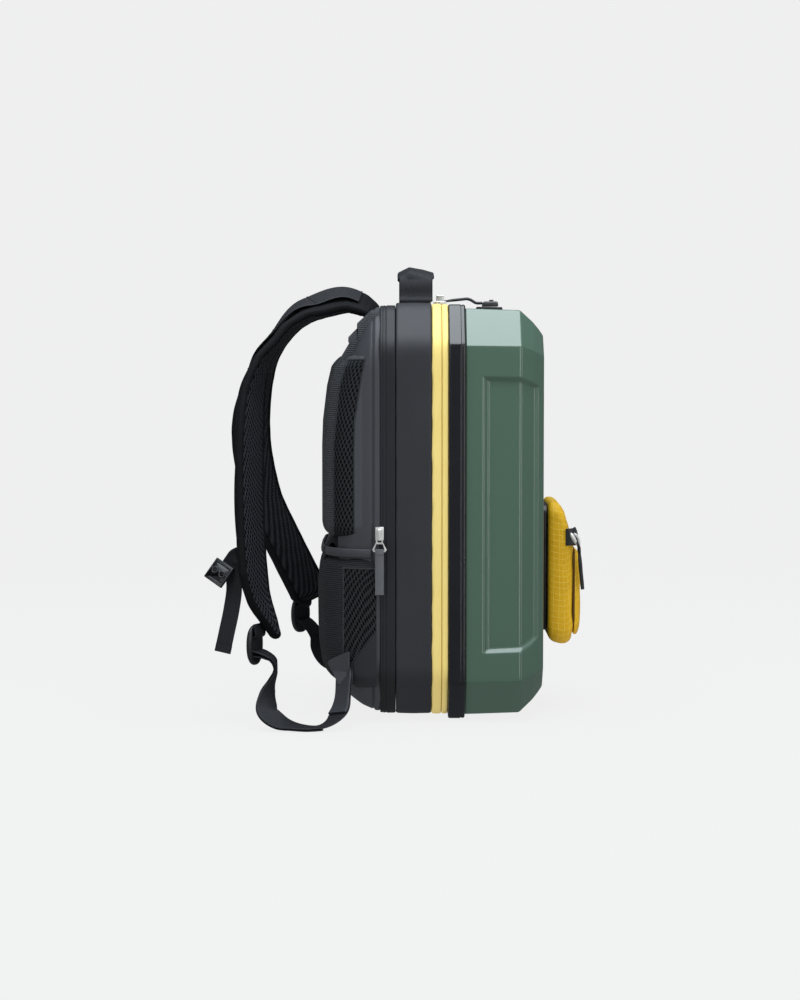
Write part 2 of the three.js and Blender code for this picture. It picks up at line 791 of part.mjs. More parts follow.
// Carry handle: two webbing legs and a bowed grip.
function makeHandle() {
  const low = bodyTop + fit;
  const profile = [
    [-98, low], [-76, low], [-74, low + 2], [-72, 482], [-60, 488], [0, 491], [60, 488], [72, 482],
    [74, low + 2], [76, low], [98, low], [98, low + 2], [79, low + 3], [77, 484], [66, 492.5],
    [0, 496], [-66, 492.5], [-77, 484], [-79, low + 3], [-98, low + 2],
  ];
  return prismAlongY(profile, 26, 63);
}

// Lock on the shell's top.
const shellTop = bodyHeight - shellInset;

function makeLockBase() {
  return prismAlongX([[-24, 450.5], [-54, 449.8], [-53, 453.2], [-25, 453.6]], -17, 17);
}

function makeLockHousing() {
  const rows = [
    { z: 453.9, x: 14, y0: -49, y1: -31 },
    { z: 458.4, x: 13.4, y0: -48.6, y1: -31.6 },
    { z: 459.6, x: 12.2, y0: -47.4, y1: -33 },
  ];
  return loft(rows.map(({ z, x, y0, y1 }) => [[-x, y0, z], [x, y0, z], [x, y1, z], [-x, y1, z]]));
}

function makeLockButton() {
  return box([-3, 3], [-44, -39], [459.9, 461.5]);
}

// Main zip slider on the tapes' top, with a bowed pull that reaches the lock.
function makeMainSlider() {
  return joined(
    box([-5.5, 5.5], [9.5, 24], [455.8, 459.4]),
    box([-2, 2], [12, 21], [459, 466.5]),
  );
}

const mainPullLine = [
  [24, 461.2], [10, 460.9], [2, 461.4], [-13, 462.7], [-17, 462.5], [-24, 458], [-30.2, 457.7],
];

function makeMainPull() {
  const upper = mainPullLine.map(([y, z]) => [y, z + 1.1]);
  const lower = mainPullLine.map(([y, z]) => [y, z - 1.1]).reverse();
  const eye = box([-2.4, 2.4], [11.6, 21.4], [455, 470]);
  return without(prismAlongX([...upper, ...lower], -4.4, 4.4), eye);
}

// Laptop zip slider on the left side, its metal link and its hanging tab.
const sideX = -bodyHalfWidth;
const coilY = 84.2;
const bailHalf = 1.8;
const linkX = [sideX - 5.7, sideX - 4.3];

function makeLaptopSlider() {
  const bailY = [coilY - bailHalf, coilY + bailHalf];
  const bailX = [sideX - 8, sideX - 3.2];
  return joined(
    box([sideX - 3.4, sideX - 0.3], [79.6, 88.8], [200, 214.5]),
    box(bailX, bailY, [209, 212]),
    box(bailX, bailY, [200, 201.4]),
    box([sideX - 8, sideX - 6.6], bailY, [200, 212]),
  );
}

// Link: a bar through the slider's bail, two arms and a flared frame for the tab.
function makeLaptopLink() {
  const arm = { inner: bailHalf + fit, outer: bailHalf + fit + 1.6 };
  const flare = [
    [coilY - 3.7, 198], [coilY + 3.7, 198], [coilY + 7.8, 190],
    [coilY + 6.3, 187.5], [coilY - 6.3, 187.5], [coilY - 7.8, 190],
  ];
  const window = [[coilY - 3.5, 196], [coilY + 3.5, 196], [coilY + 5.6, 189.2], [coilY - 5.6, 189.2]];
  const frame = without(prismAlongX(flare, ...linkX), prismAlongX(window, sideX - 9, sideX - 1));
  return joined(
    frame,
    box(linkX, [coilY - arm.outer, coilY - arm.inner], [197, 203.6]),
    box(linkX, [coilY + arm.inner, coilY + arm.outer], [197, 203.6]),
    box(linkX, [coilY - arm.outer, coilY + arm.outer], [202.2, 203.6]),
  );
}

// Tab: a folded strip whose top wraps the link's lower bar.
function makeLaptopTab() {
  const y = [coilY - pullWidth / 2, coilY + pullWidth / 2];
  const fold = box([sideX - 7, sideX - 3], y, [185, 190.6]);
  const bar = box([sideX - 6, sideX - 4], [coilY - 10, coilY + 10], [187.2, 189.5]);
  const strip = box([sideX - 6, sideX - 4], y, [140.9, 185.5]);
  return joined(without(fold, bar), strip);
}

// Pouch on the shell's front: a rounded cloth box, open behind where the backing closes it.
const pouchRows = [
  { y: -103.4, half: 42, low: 98, high: 222, radius: 10 },
  { y: -103.4, half: 60, low: 80, high: 239, radius: 16 },
  { y: -118, half: 61, low: 76.5, high: 238, radius: 18 },
  { y: -130, half: 60, low: 77, high: 212, radius: 20 },
  { y: -135.5, half: 55, low: 86, high: 200, radius: 20 },
];
const pouchWall = 2;

function pouchLoop({ y, half, low, high, radius }, inset) {
  return outline({
    half: half - inset,
    low: low + inset,
    high: high - inset,
    radius: radius - inset,
    y,
    steps: 4,
  });
}

function makePouch() {
  const outer = pouchRows.map((row) => pouchLoop(row, 0));
  const lip = pouchLoop({ ...pouchRows[0], y: pouchRows[0].y - pouchWall }, 0);
  const inner = pouchRows.slice(1).map((row, k) => {
    const shift = [-pouchWall, 0, 0, pouchWall][k];
    return pouchLoop({ ...row, y: row.y + shift }, pouchWall);
  });
  return loft([...inner.reverse(), lip, ...outer]);
}

// The pouch's outside, filled and grown by a clearance.
function pouchTool(clearance) {
  const rows = pouchRows.slice(1).map((row) => pouchLoop({ ...row, y: row.y - clearance }, -clearance));
  return loft(rows);
}

// Black end piece of the pouch's zip, following the pouch's upper left edge.
function makePouchGarage() {
  const place = box([-75, -36], [-139, -123], [187, 206]);
  const patch = toSolid(pouchTool(fit + 1.6)).intersect(toSolid(place));
  return fromSolid(patch.subtract(toSolid(pouchTool(fit))));
}

// Slim cloth pocket on the pouch's front, open towards the pouch.
const pocketRows = [
  { y: -135.8, half: 53, low: 88, high: 176, radius: 16 },
  { y: -141.5, half: 50, low: 92, high: 172, radius: 16 },
  { y: -143.5, half: 40, low: 102, high: 162, radius: 14 },
];

function makePouchPocket() {
  const outer = pocketRows.map((row) => pouchLoop(row, 0));
  const inner = pocketRows.map((row, k) => {
    const shift = k === 0 ? 0 : 1.6;
    return pouchLoop({ ...row, y: row.y + shift }, pouchWall);
  });
  return loft([...inner.reverse(), ...outer]);
}

const backing = { half: 52, low: 90, high: 233, radius: 14, from: -97.7, to: -103.1 };

function makePouchBacking() {
  const { half, low, high, radius, from, to } = backing;
  return loft([from, to].map((y) => outline({ half, low, high, radius, y, steps: 3 })));
}

const meshes = [];

// Adds one named closed piece to the part.
function addPiece(name, lump, finish) {
  const geometry = new THREE.BufferGeometry();
  const corners = lump.faces.flatMap((face) => face.map((k) => lump.points[k])).flat();
  geometry.setAttribute('position', new THREE.Float32BufferAttribute(corners, 3));
  geometry.computeVertexNormals();
  const mesh = new THREE.Mesh(geometry, new THREE.MeshStandardMaterial(finishes[finish]));
  mesh.name = name;
  meshes.push(mesh);
}

addPiece('shell', makeShell(), 'shellGreen');
addPiece('rim_frame', makeRim(), 'rimBlack');
addPiece('zip_tape_front', makeZipTape(zipTapes.front), 'zipYellow');
addPiece('zip_tape_rear', makeZipTape(zipTapes.rear), 'zipYellow');
addPiece('main_band', makeMainBand(), 'bodyBlack');
addPiece('laptop_zip', makeLaptopZip(), 'bodyBlack');
addPiece('back_panel', makeBackPanel(), 'bodyBlack');
addPiece('top_pad', makeTopPad(), 'meshBlack');
addPiece('upper_pad_right', makeUpperPad(), 'meshBlack');
addPiece('upper_pad_left', mirrored(makeUpperPad()), 'meshBlack');
addPiece('lumbar_pad', makeLumbarPad(), 'meshBlack');
addPiece('sleeve_hem', makeSleeveHem(), 'bodyBlack');
addPiece('shoulder_strap_left', makeStrap(leftStrap, strapTips.left), 'meshBlack');
addPiece('shoulder_strap_right', makeStrap(rightStrap, strapTips.right), 'meshBlack');
addPiece('strap_webbing_left', makeStrapWebbing(leftStrap, strapTips.left), 'webbingBlack');
addPiece('strap_webbing_right', makeStrapWebbing(rightStrap, strapTips.right), 'webbingBlack');
addPiece('ladder_lock_left', makeLadderLock(leftStrap), 'plasticBlack');
addPiece('ladder_lock_right', makeLadderLock(rightStrap), 'plasticBlack');
addPiece('lock_tab_left', makeLockTab(leftStrap, 12.6), 'webbingBlack');
addPiece('lock_tab_right', makeLockTab(rightStrap, 10.6), 'webbingBlack');
addPiece('lower_webbing_left', makeLowerWebbing(leftStrap, leftWebbing, 34), 'webbingBlack');
addPiece('lower_webbing_right', makeLowerWebbing(rightStrap, rightWebbing, 18), 'webbingBlack');
addPiece('corner_patch_left', makeCornerPatch(), 'bodyBlack');
addPiece('corner_patch_right', mirrored(makeCornerPatch()), 'bodyBlack');
addPiece('chest_webbing', makeChestLead(), 'webbingBlack');
addPiece('chest_buckle', makeChestBuckle(), 'plasticBlack');
addPiece('chest_tail', makeChestTail(), 'webbingBlack');
addPiece('carry_handle', makeHandle(), 'webbingBlack');
addPiece('lock_base', makeLockBase(), 'plasticBlack');
addPiece('lock_housing', makeLockHousing(), 'plasticBlack');
addPiece('lock_button', makeLockButton(), 'plasticBlack');
addPiece('main_slider', makeMainSlider(), 'steel');
addPiece('main_pull', makeMainPull(), 'plasticBlack');
addPiece('laptop_slider', makeLaptopSlider(), 'steel');
addPiece('laptop_link', makeLaptopLink(), 'steel');
addPiece('laptop_tab', makeLaptopTab(), 'tabGrey');
addPiece('pouch', makePouch(), 'pouchYellow');
addPiece('pouch_garage', makePouchGarage(), 'plasticBlack');
addPiece('pouch_pocket', makePouchPocket(), 'pouchYellow');
addPiece('pouch_backing', makePouchBacking(), 'plasticBlack');

const backpack = new THREE.Group();
backpack.name = 'hard_shell_backpack';
backpack.add(...meshes);

export default backpack;
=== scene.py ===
# Hard shell backpack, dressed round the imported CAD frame. Shapes are worked out in
# millimetres and turned to metres when they become meshes.
from math import pi, radians, tan

import bmesh
import bpy
import numpy as np
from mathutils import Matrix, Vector


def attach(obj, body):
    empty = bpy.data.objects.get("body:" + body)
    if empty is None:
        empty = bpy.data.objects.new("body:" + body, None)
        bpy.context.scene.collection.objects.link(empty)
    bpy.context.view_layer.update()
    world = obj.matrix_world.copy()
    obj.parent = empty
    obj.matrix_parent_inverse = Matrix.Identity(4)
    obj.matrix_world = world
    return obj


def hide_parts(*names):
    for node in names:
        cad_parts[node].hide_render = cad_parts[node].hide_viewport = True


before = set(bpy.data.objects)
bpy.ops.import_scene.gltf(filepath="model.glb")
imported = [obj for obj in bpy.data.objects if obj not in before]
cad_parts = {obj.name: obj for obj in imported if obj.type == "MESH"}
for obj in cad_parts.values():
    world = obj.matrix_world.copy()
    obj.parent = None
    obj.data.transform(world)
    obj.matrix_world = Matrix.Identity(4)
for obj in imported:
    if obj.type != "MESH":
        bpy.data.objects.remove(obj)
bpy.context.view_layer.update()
mm = 0.001


def rgb(code):  # screen colour such as "#486454" as the linear colour that nodes use
    parts = np.array([int(code[k:k + 2], 16) / 255 for k in (1, 3, 5)])
    linear = np.where(parts <= 0.04045, parts / 12.92, ((parts + 0.055) / 1.055) ** 2.4)
    return (*linear, 1.0)


class Wire:  # one output socket of a material's nodes; arithmetic on it adds Math nodes
    def __init__(self, paint, socket):
        self.paint, self.socket = paint, socket

    def math(self, operation, *values):
        return self.paint.node("ShaderNodeMath", {"operation": operation}, dict(enumerate(values)))

    def __add__(self, other):
        return self.math("ADD", self, other)

    __radd__ = __add__

    def __sub__(self, other):
        return self.math("SUBTRACT", self, other)

    def __rsub__(self, other):
        return self.math("SUBTRACT", other, self)

    def __mul__(self, other):
        return self.math("MULTIPLY", self, other)

    __rmul__ = __mul__

    def __abs__(self):
        return self.math("ABSOLUTE", self)

    def wave(self, period):  # sine of the value, once each period
        return self.math("SINE", self * (2 * pi / period))

    def step(self, low, high):  # 0 below low, 1 above high, smooth between
        return self.paint.node("ShaderNodeMapRange", {"interpolation_type": "SMOOTHSTEP"},
                               {0: self, 1: low, 2: high, 3: 0.0, 4: 1.0})

    def most(self, other):
        return self.math("MAXIMUM", self, other)


class Paint:  # a material with one Principled shader
    def __init__(self, name, color, roughness, **sockets):
        self.material = bpy.data.materials.new(name)
        self.material.use_nodes = True
        self.tree = self.material.node_tree
        self.shader = self.tree.nodes["Principled BSDF"]
        self.put(self.shader, {"Base Color": color, "Roughness": roughness})
        self.put(self.shader, {key.replace("_", " "): value for key, value in sockets.items()})

    def put(self, node, sockets):  # values, screen colours or links for a node's inputs
        for key, value in sockets.items():
            if isinstance(value, Wire):
                self.tree.links.new(value.socket, node.inputs[key])
            else:
                node.inputs[key].default_value = rgb(value) if isinstance(value, str) else value

    def node(self, kind, settings=None, sockets=None, output=0):
        made = self.tree.nodes.new(kind)
        for key, value in (settings or {}).items():
            setattr(made, key, value)
        self.put(made, sockets or {})
        return Wire(self, made.outputs[output])

    def axes(self, vector):  # the three numbers of a vector
        made = self.node("ShaderNodeSeparateXYZ", None, {0: vector})
        return [Wire(self, made.socket.node.outputs[k]) for k in range(3)]

    def place(self):  # object coordinates
        return self.node("ShaderNodeTexCoord", output=3)

    def cloth(self):  # the piece's own UV map, in metres along and across
        return self.axes(self.node("ShaderNodeTexCoord", output=2))[:2]

    def mark(self, name):  # a number that the piece carries at its points
        return self.node("ShaderNodeAttribute", {"attribute_name": name}, output=2)

    def noise(self, scale, detail=3.0, roughness=0.5):
        return self.node("ShaderNodeTexNoise", None, {
            "Vector": self.place(), "Scale": scale, "Detail": detail, "Roughness": roughness})

    def blend(self, factor, first, second):  # colours mixed
        return self.node("ShaderNodeMix", {"data_type": "RGBA"},
                         {0: factor, 6: first, 7: second}, 2)

    def finish(self, color=None, roughness=None, height=None, depth=0.0002, strength=1.0):
        if color is not None:
            self.put(self.shader, {"Base Color": color})
        if roughness is not None:
            self.put(self.shader, {"Roughness": roughness})
        if height is not None:
            bump = self.node("ShaderNodeBump", None,
                             {"Height": height, "Distance": depth, "Strength": strength})
            self.put(self.shader, {"Normal": bump})
        return self.material


def threads(paint, pitch):  # over-and-under weave of two sets of threads, 0 to 1
    u, v = paint.cloth()
    cross = u.wave(pitch * 2) * v.wave(pitch * 2)
    return 0.5 + 0.35 * cross + 0.15 * u.wave(pitch) * v.wave(pitch)


def shellPlastic():
    look = {"color": "#3e5749", "fleck": "#466152", "roughness": 0.34, "coat": 0.75}
    paint = Paint("hard_shell_plastic", look["color"], look["roughness"],
                  Coat_Weight=look["coat"], Coat_Roughness=0.07, Coat_IOR=1.5)
    fleck = paint.noise(900.0, 2.0)
    broad = paint.noise(9.0, 2.0)
    color = paint.blend(fleck * 0.45 + broad * 0.35, look["color"], look["fleck"])
    scuff = paint.noise(60.0, 4.0, 0.7)
    return paint.finish(color, 0.28 + scuff * 0.14, paint.noise(1600.0, 1.0), 0.00001, 0.5)


def rimGloss():
    paint = Paint("black_rim_gloss", "#121318", 0.22, Coat_Weight=0.3, Coat_Roughness=0.05)
    color = paint.blend(paint.noise(14.0), "#0e0f13", "#17181d")
    return paint.finish(color, 0.18 + paint.noise(80.0, 4.0) * 0.14)


def zipCloth():
    paint = Paint("yellow_zip_tape", "#e6cd7a", 0.5, Specular_IOR_Level=0.3)
    fine = threads(paint, 0.0006)
    soft = paint.noise(30.0, 3.0)
    color = paint.blend(soft, "#e0c772", "#ead484")
    return paint.finish(color, 0.44 + 0.18 * soft, fine + soft * 1.5, 0.00012, 0.6)


def bodyCloth(name="coated_body_cloth", dark="#27282c", light="#303136"):
    paint = Paint(name, dark, 0.5, Specular_IOR_Level=0.28)
    fine = threads(paint, 0.0005)
    soft = paint.noise(11.0, 4.0, 0.55)
    color = paint.blend(soft * 0.8 + fine * 0.2, dark, light)
    return paint.finish(color, 0.42 + 0.2 * soft, fine * 0.25 + soft * 5.0, 0.0003, 0.55)


def webbingCloth():
    paint = Paint("woven_webbing", "#1b1c20", 0.6, Specular_IOR_Level=0.2)
    u, v = paint.cloth()
    ribs = abs((v + u * 0.5).wave(0.0026)) * abs((v - u * 0.5).wave(0.0026))
    lines = 0.5 + 0.5 * u.wave(0.0016)
    grain = paint.noise(700.0, 2.0)
    color = paint.blend(ribs * 0.5 + grain * 0.5, "#151619", "#25262b")
    return paint.finish(color, 0.5 + 0.15 * grain, ribs * 0.6 + lines * 0.4 + grain * 0.3,
                        0.00022, 0.8)


def padCloth(name, cloth, thread, slant=0.0, middle=0.0, turned=False):
    # Zones by the mark on the piece: 0 ribbed cloth, 1 open mesh, 2 smooth cloth, and piping
    # where the mark "piping" rises to 1.
    look = {"rib": 0.0023, "hole": (0.0048, 0.0086), "cloth": cloth, "thread": thread,
            "net": "#27292c", "pit": "#020203", "pipe": "#37393c"}
    paint = Paint(name, look["cloth"], 0.75, Specular_IOR_Level=0.12)
    u, v = paint.cloth()[::-1] if turned else paint.cloth()
    zone, pipe = paint.mark("zone"), paint.mark("piping")
    lean = v + abs(u - middle) * slant
    hole = (u + v * 0.12).wave(look["hole"][0]) * lean.wave(look["hole"][1])
    pit = hole.step(-0.02, 0.25)
    rib = 0.5 + 0.5 * v.wave(look["rib"])
    meshZone = zone.step(0.45, 0.55) * (1.0 - zone.step(1.45, 1.55))
    ribZone, smoothZone = 1.0 - zone.step(0.45, 0.55), zone.step(1.45, 1.55)
    grain = paint.noise(500.0, 2.0)
    # The ribs blend towards the lighter thread colour on their tops: painted highlight along the
    # ribs, while the bump gives their shape.
    ribbed = paint.blend(grain * 0.25 + rib * ribZone * 0.75 + smoothZone * 0.55, look["cloth"],
                         look["thread"])
    base = paint.blend(meshZone, ribbed, look["net"])
    holed = paint.blend(pit * meshZone, base, look["pit"])
    color = paint.blend(pipe.step(0.3, 0.7), holed, look["pipe"])
    height = rib * ribZone * 0.6 + (1.0 - pit) * meshZone + pipe * 2.0 + grain * 0.15
    return paint.finish(color, 0.66 + 0.2 * grain, height, 0.0009, 0.9)


def strapCloth():
    # Zones by the mark "zone": 0 outer cloth, 1 inner mesh; "piping" is the bound edge.
    paint = Paint("strap_cloth", "#141518", 0.6, Specular_IOR_Level=0.08)
    u, v = paint.cloth()
    zone, edge = paint.mark("zone"), paint.mark("piping")
    pit = ((u + v * 0.25).wave(0.0056) * v.wave(0.0092)).step(-0.04, 0.26)
    inner = zone.step(0.45, 0.55) * (1.0 - edge.step(0.4, 0.6))
    grain = paint.noise(450.0, 3.0)
    soft = paint.noise(22.0, 3.0)
    fine = threads(paint, 0.0006)
    cloth = paint.blend(grain * 0.5 + soft * 0.5, "#0a0b0d", "#151619")
    meshed = paint.blend(pit, "#303136", "#010101")
    color = paint.blend(inner, cloth, meshed)
    height = (1.0 - pit) * inner + (1.0 - inner) * (fine * 0.2 + soft * 1.2)
    return paint.finish(color, 0.5 + 0.25 * grain, height, 0.0006, 0.8)


def hardPlastic(name="black_plastic", color="#1b1c1f", light="#26272b"):
    paint = Paint(name, color, 0.36)
    grain = paint.noise(900.0, 2.0)
    mixed = paint.blend(paint.noise(60.0), color, light)
    return paint.finish(mixed, 0.3 + 0.16 * grain, grain, 0.00003, 0.6)


def brightSteel():
    paint = Paint("nickel_steel", (0.82, 0.81, 0.79, 1.0), 0.22, Metallic=0.7)
    brushed = paint.noise(600.0, 3.0)
    color = paint.blend(paint.noise(120.0), (0.74, 0.73, 0.71, 1.0), (0.9, 0.89, 0.87, 1.0))
    return paint.finish(color, 0.28 + 0.25 * brushed, brushed, 0.00002, 0.4)


def tabLeather():
    paint = Paint("grey_tab_leather", "#54565a", 0.5)
    pores = paint.noise(1300.0, 3.0)
    color = paint.blend(paint.noise(70.0) * 0.6 + pores * 0.4, "#4b4d51", "#5f6165")
    return paint.finish(color, 0.42 + 0.2 * pores, pores, 0.00012, 0.7)


def ripstop():
    # Fine yellow weave with a paler thicker thread every few millimetres both ways.
    look = {"grid": 0.0066, "thread": 0.1, "cloth": "#e2b20a", "shade": "#c89603",
            "line": "#efd45c"}
    paint = Paint("ripstop_cloth", look["cloth"], 0.55, Specular_IOR_Level=0.3)
    u, v = paint.cloth()
    across = (0.5 + 0.5 * u.wave(look["grid"])).step(1 - look["thread"] * 0.5, 1.0)
    along = (0.5 + 0.5 * v.wave(look["grid"])).step(1 - look["thread"] * 0.5, 1.0)
    lines = across.most(along)
    fine = threads(paint, 0.0005)
    soft = paint.noise(26.0, 4.0)
    cloth = paint.blend(soft, look["shade"], look["cloth"])
    color = paint.blend(lines * 0.5, cloth, look["line"])
    return paint.finish(color, 0.45 + 0.2 * soft, lines * 0.6 + fine * 0.3 + soft * 4.0, 0.0004,
                        0.7)


looks = {  # each material and the slot that it stands for
    "shell": (shellPlastic(), "hard_shell"), "rim": (rimGloss(), "black_rim"),
    "zip": (zipCloth(), "yellow_zip"), "body": (bodyCloth(), "body_cloth"),
    "smooth": (bodyCloth("smooth_side_cloth", "#36373b", "#424348"), "body_cloth"),
    "webbing": (webbingCloth(), "webbing"),
    # The pads' lighter thread colours are painted highlight on their rib tops.
    "pad": (padCloth("pad_cloth", "#292b2e", "#4a4c50"), "air_mesh"),
    "lumbar": (padCloth("lumbar_cloth", "#18191c", "#303236", 0.5, 0.0, True), "air_mesh"),
    "strap": (strapCloth(), "air_mesh"), "plastic": (hardPlastic(), "black_plastic"),
    "laptop": (bodyCloth("laptop_zip_cloth", "#1a1b1f", "#232428"), "body_cloth"),
    "lock": (hardPlastic("lock_plastic", "#141518", "#2a2b2f"), "black_plastic"),
    "steel": (brightSteel(), "steel"), "tab": (tabLeather(), "grey_tab"),
    "ripstop": (ripstop(), "pouch_cloth"),
    # The dark brown cloth below is painted shade for the gap between the pouch box and its pocket.
    "painted_gap_shade": (bodyCloth("pouch_gap_painted_shade_cloth", "#4a2c04", "#5c3a08"), "pouch_cloth"),
    "rubber": (hardPlastic("backing_rubber", "#101012", "#1c1c1e"), "black_plastic"),
}
print("materials ready")


def addObject(name, data):
    made = bpy.data.objects.new(name, data)
    bpy.context.scene.collection.objects.link(made)
    return made


def register(piece, material, nodes=(), body="bag"):
    surface, slot = looks[material]
    piece.data.materials.clear()
    piece.data.materials.append(surface)
    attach(piece, body)
    if nodes:
        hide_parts(*nodes)
    return piece


def gridPiece(name, grid, material, nodes=(), along=False, capped=True, sharp=50, marks=None):
    # Skin over a grid of points in millimetres: rows run along the piece, columns around it.
    # Its UV map holds the arc lengths across and along, in metres.
    points = np.asarray(grid, float) * mm
    rows, cols = points.shape[:2]
    wide = np.concatenate([points, points[:, :1]], 1)
    wide = np.concatenate([wide, wide[:1]], 0) if along else wide
    across = np.linalg.norm(np.diff(wide, axis=1, prepend=wide[:, :1]), axis=2).cumsum(1)
    down = np.linalg.norm(np.diff(wide, axis=0, prepend=wide[:1]), axis=2).cumsum(0)
    across = across - across[:, -1:] / 2
    cloth = np.stack([across, down], -1)
    index = np.arange(rows * cols).reshape(rows, cols)
    i, j = np.meshgrid(np.arange(wide.shape[0] - 1), np.arange(wide.shape[1] - 1), indexing="ij")
    corners = [(i, j), (i, j + 1), (i + 1, j + 1), (i + 1, j)]
    quads = np.stack([index[a % rows, b % cols] for a, b in corners], -1).reshape(-1, 4)
    maps = np.stack([cloth[a, b] for a, b in corners], -2).reshape(-1, 4, 2)
    vertices = points.reshape(-1, 3)
    faces, uvs = quads.tolist(), maps.reshape(-1, 2)
    triangles = np.concatenate([quads[:, [0, 1, 2]], quads[:, [0, 2, 3]]])
    if capped and not along:
        for end, first in ((0, True), (rows - 1, False)):
            middle = len(vertices)
            vertices = np.vstack([vertices, points[end].mean(0)])
            loop = index[end]
            nextLoop = np.roll(loop, -1)
            order = [nextLoop, loop] if first else [loop, nextLoop]
            fan = np.stack([*order, np.full(cols, middle)], -1)
            faces += fan.tolist()
            triangles = np.vstack([triangles, fan])
            uvs = np.vstack([uvs, vertices[fan].reshape(-1, 3)[:, [0, 2]]])
    a, b, c = (vertices[triangles[:, k]] for k in range(3))
    inward = (along or capped) and np.einsum("ij,ij->i", a, np.cross(b, c)).sum() < 0
    mesh = bpy.data.meshes.new(name)
    mesh.from_pydata(vertices.tolist(), [], faces)
    mesh.uv_layers.new(name="cloth").data.foreach_set("uv", uvs.astype(np.float32).ravel())
    for key, values in (marks or {}).items():
        filled = np.zeros(len(vertices), np.float32)
        filled[:rows * cols] = np.broadcast_to(values, (rows, cols)).ravel()
        mesh.attributes.new(key, "FLOAT", "POINT").data.foreach_set("value", filled)
    if inward:
        mesh.flip_normals()
    mesh.polygons.foreach_set("use_smooth", np.ones(len(faces), bool))
    mesh.set_sharp_from_angle(angle=radians(sharp))
    mesh.update()
    return register(addObject(name, mesh), material, nodes)


def easedNode(node, width, material, body):
    # The CAD node's own mesh, merged into flat faces, with its edges rounded by width in mm.
    name = f"{node}_eased"
    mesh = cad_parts[node].data.copy()
    mesh.name = name
    work = bmesh.new()
    work.from_mesh(mesh)
    bmesh.ops.remove_doubles(work, verts=work.verts, dist=2e-5)
    bmesh.ops.dissolve_limit(work, angle_limit=radians(1), verts=work.verts, edges=work.edges)
    work.to_mesh(mesh)
    work.free()
    piece = addObject(name, mesh)
    ease = piece.modifiers.new("ease", "BEVEL")
    ease.width, ease.segments, ease.limit_method = width * mm, 3, "ANGLE"
    ease.angle_limit, ease.harden_normals = radians(25), True
    mesh.polygons.foreach_set("use_smooth", np.ones(len(mesh.polygons), bool))
    return register(piece, material, (node,), body)


def unit(vectors):
    return vectors / np.linalg.norm(vectors, axis=-1, keepdims=True)


def arcLength(line):  # distance along the line at each of its points
    return np.concatenate([[0], np.linalg.norm(np.diff(line, axis=0), axis=1).cumsum()])


def resample(points, step, blur=0.0, closed=False):
    # Evenly spaced points along a line, each averaged with its neighbours within blur.
    line = np.asarray(points, float)
    line = np.vstack([line, line[:1]]) if closed else line
    length = arcLength(line[:, :2])
    count = max(int(round(length[-1] / step)), 4)
    at = np.linspace(0, length[-1], count + 1)[:count if closed else count + 1]
    reach = max(int(round(blur / step)), 0)
    if reach == 0:
        return np.stack([np.interp(at, length, column) for column in line.T], -1)
    shifts = np.linspace(-blur, blur, 2 * reach + 1)
    spots = at[:, None] + shifts
    if closed:
        spots = spots % length[-1]
    else:  # near an open end the blur narrows, so the ends stay put
        room = np.minimum(at, length[-1] - at)[:, None]
        spots = at[:, None] + np.clip(shifts, -room, room)
    return np.stack([np.interp(spots, length, column).mean(1) for column in line.T], -1)


chamferLoss = 2 - 2 ** 0.5  # a cut's loss for each unit that its outline moves inwards


def outline(half, low, high, radius, y, chamfer=None, arcSteps=6, sideZ=None, topSteps=10):
    # Loops round the bag, one for each row: a rectangle in x and z with rounded corners, or
    # with corners cut at 45 degrees whose two ends are rounded. Rows differ in every size.
    half, low, high, radius, y = (np.broadcast_to(np.asarray(v, float), np.shape(y))[:, None]
                                  for v in (half, low, high, radius, y))
    if chamfer is None:
        turn = np.radians(np.linspace(0, 90, 2 * arcSteps + 1))[None]
        across = down = radius + 0 * turn
    else:
        chamfer = np.broadcast_to(np.asarray(chamfer, float), y.shape[:1])[:, None]
        reach = chamfer + radius * tan(pi / 8)
        turn = np.radians(np.concatenate([np.linspace(0, 45, arcSteps),
                                          np.linspace(45, 90, arcSteps)]))[None]
        first = np.arange(turn.shape[1]) < arcSteps
        across = np.where(first, radius, reach)
        down = np.where(first, reach, radius)
    x = half - across + radius * np.cos(turn)
    z = high - down + radius * np.sin(turn)
    mid = (low + high) / 2
    side = np.linspace(0, 1, 12)[None, 1:-1] if sideZ is None else None
    leftTop, rightTop = (-x[:, ::-1], z[:, ::-1]), (x, z)
    leftLow, rightLow = (-x, 2 * mid - z), (x[:, ::-1], 2 * mid - z[:, ::-1])

    def between(a, b, share):
        return tuple(p[:, -1:] + (q[:, :1] - p[:, -1:]) * share for p, q in zip(a, b))

    top = between(rightTop, leftTop, np.linspace(0, 1, topSteps + 1)[None, 1:-1])
    foot = between(leftLow, rightLow, np.linspace(0, 1, topSteps + 1)[None, 1:-1])
    if sideZ is None:
        left, right = between(leftTop, leftLow, side), between(rightLow, rightTop, side)
    else:
        rise = np.asarray(sideZ, float)[None]
        fit = np.minimum(1, (z[:, :1] - mid) / np.abs(rise - mid).max(1, keepdims=True) * 0.99)
        rise = mid + (rise - mid) * fit
        right = (half + 0 * rise, rise)
        left = (-half + 0 * rise, rise[:, ::-1])
    parts = [rightTop, top, leftTop, left, leftLow, foot, rightLow, right]
    xs, zs = (np.concatenate([p[k] for p in parts], 1) for k in (0, 1))
    return np.stack([xs, y + 0 * xs, zs], -1)


softCorner = {"chamfer": 43.0, "radius": 34.0}
rimCorner = {"chamfer": 43.0, "radius": 7.0}


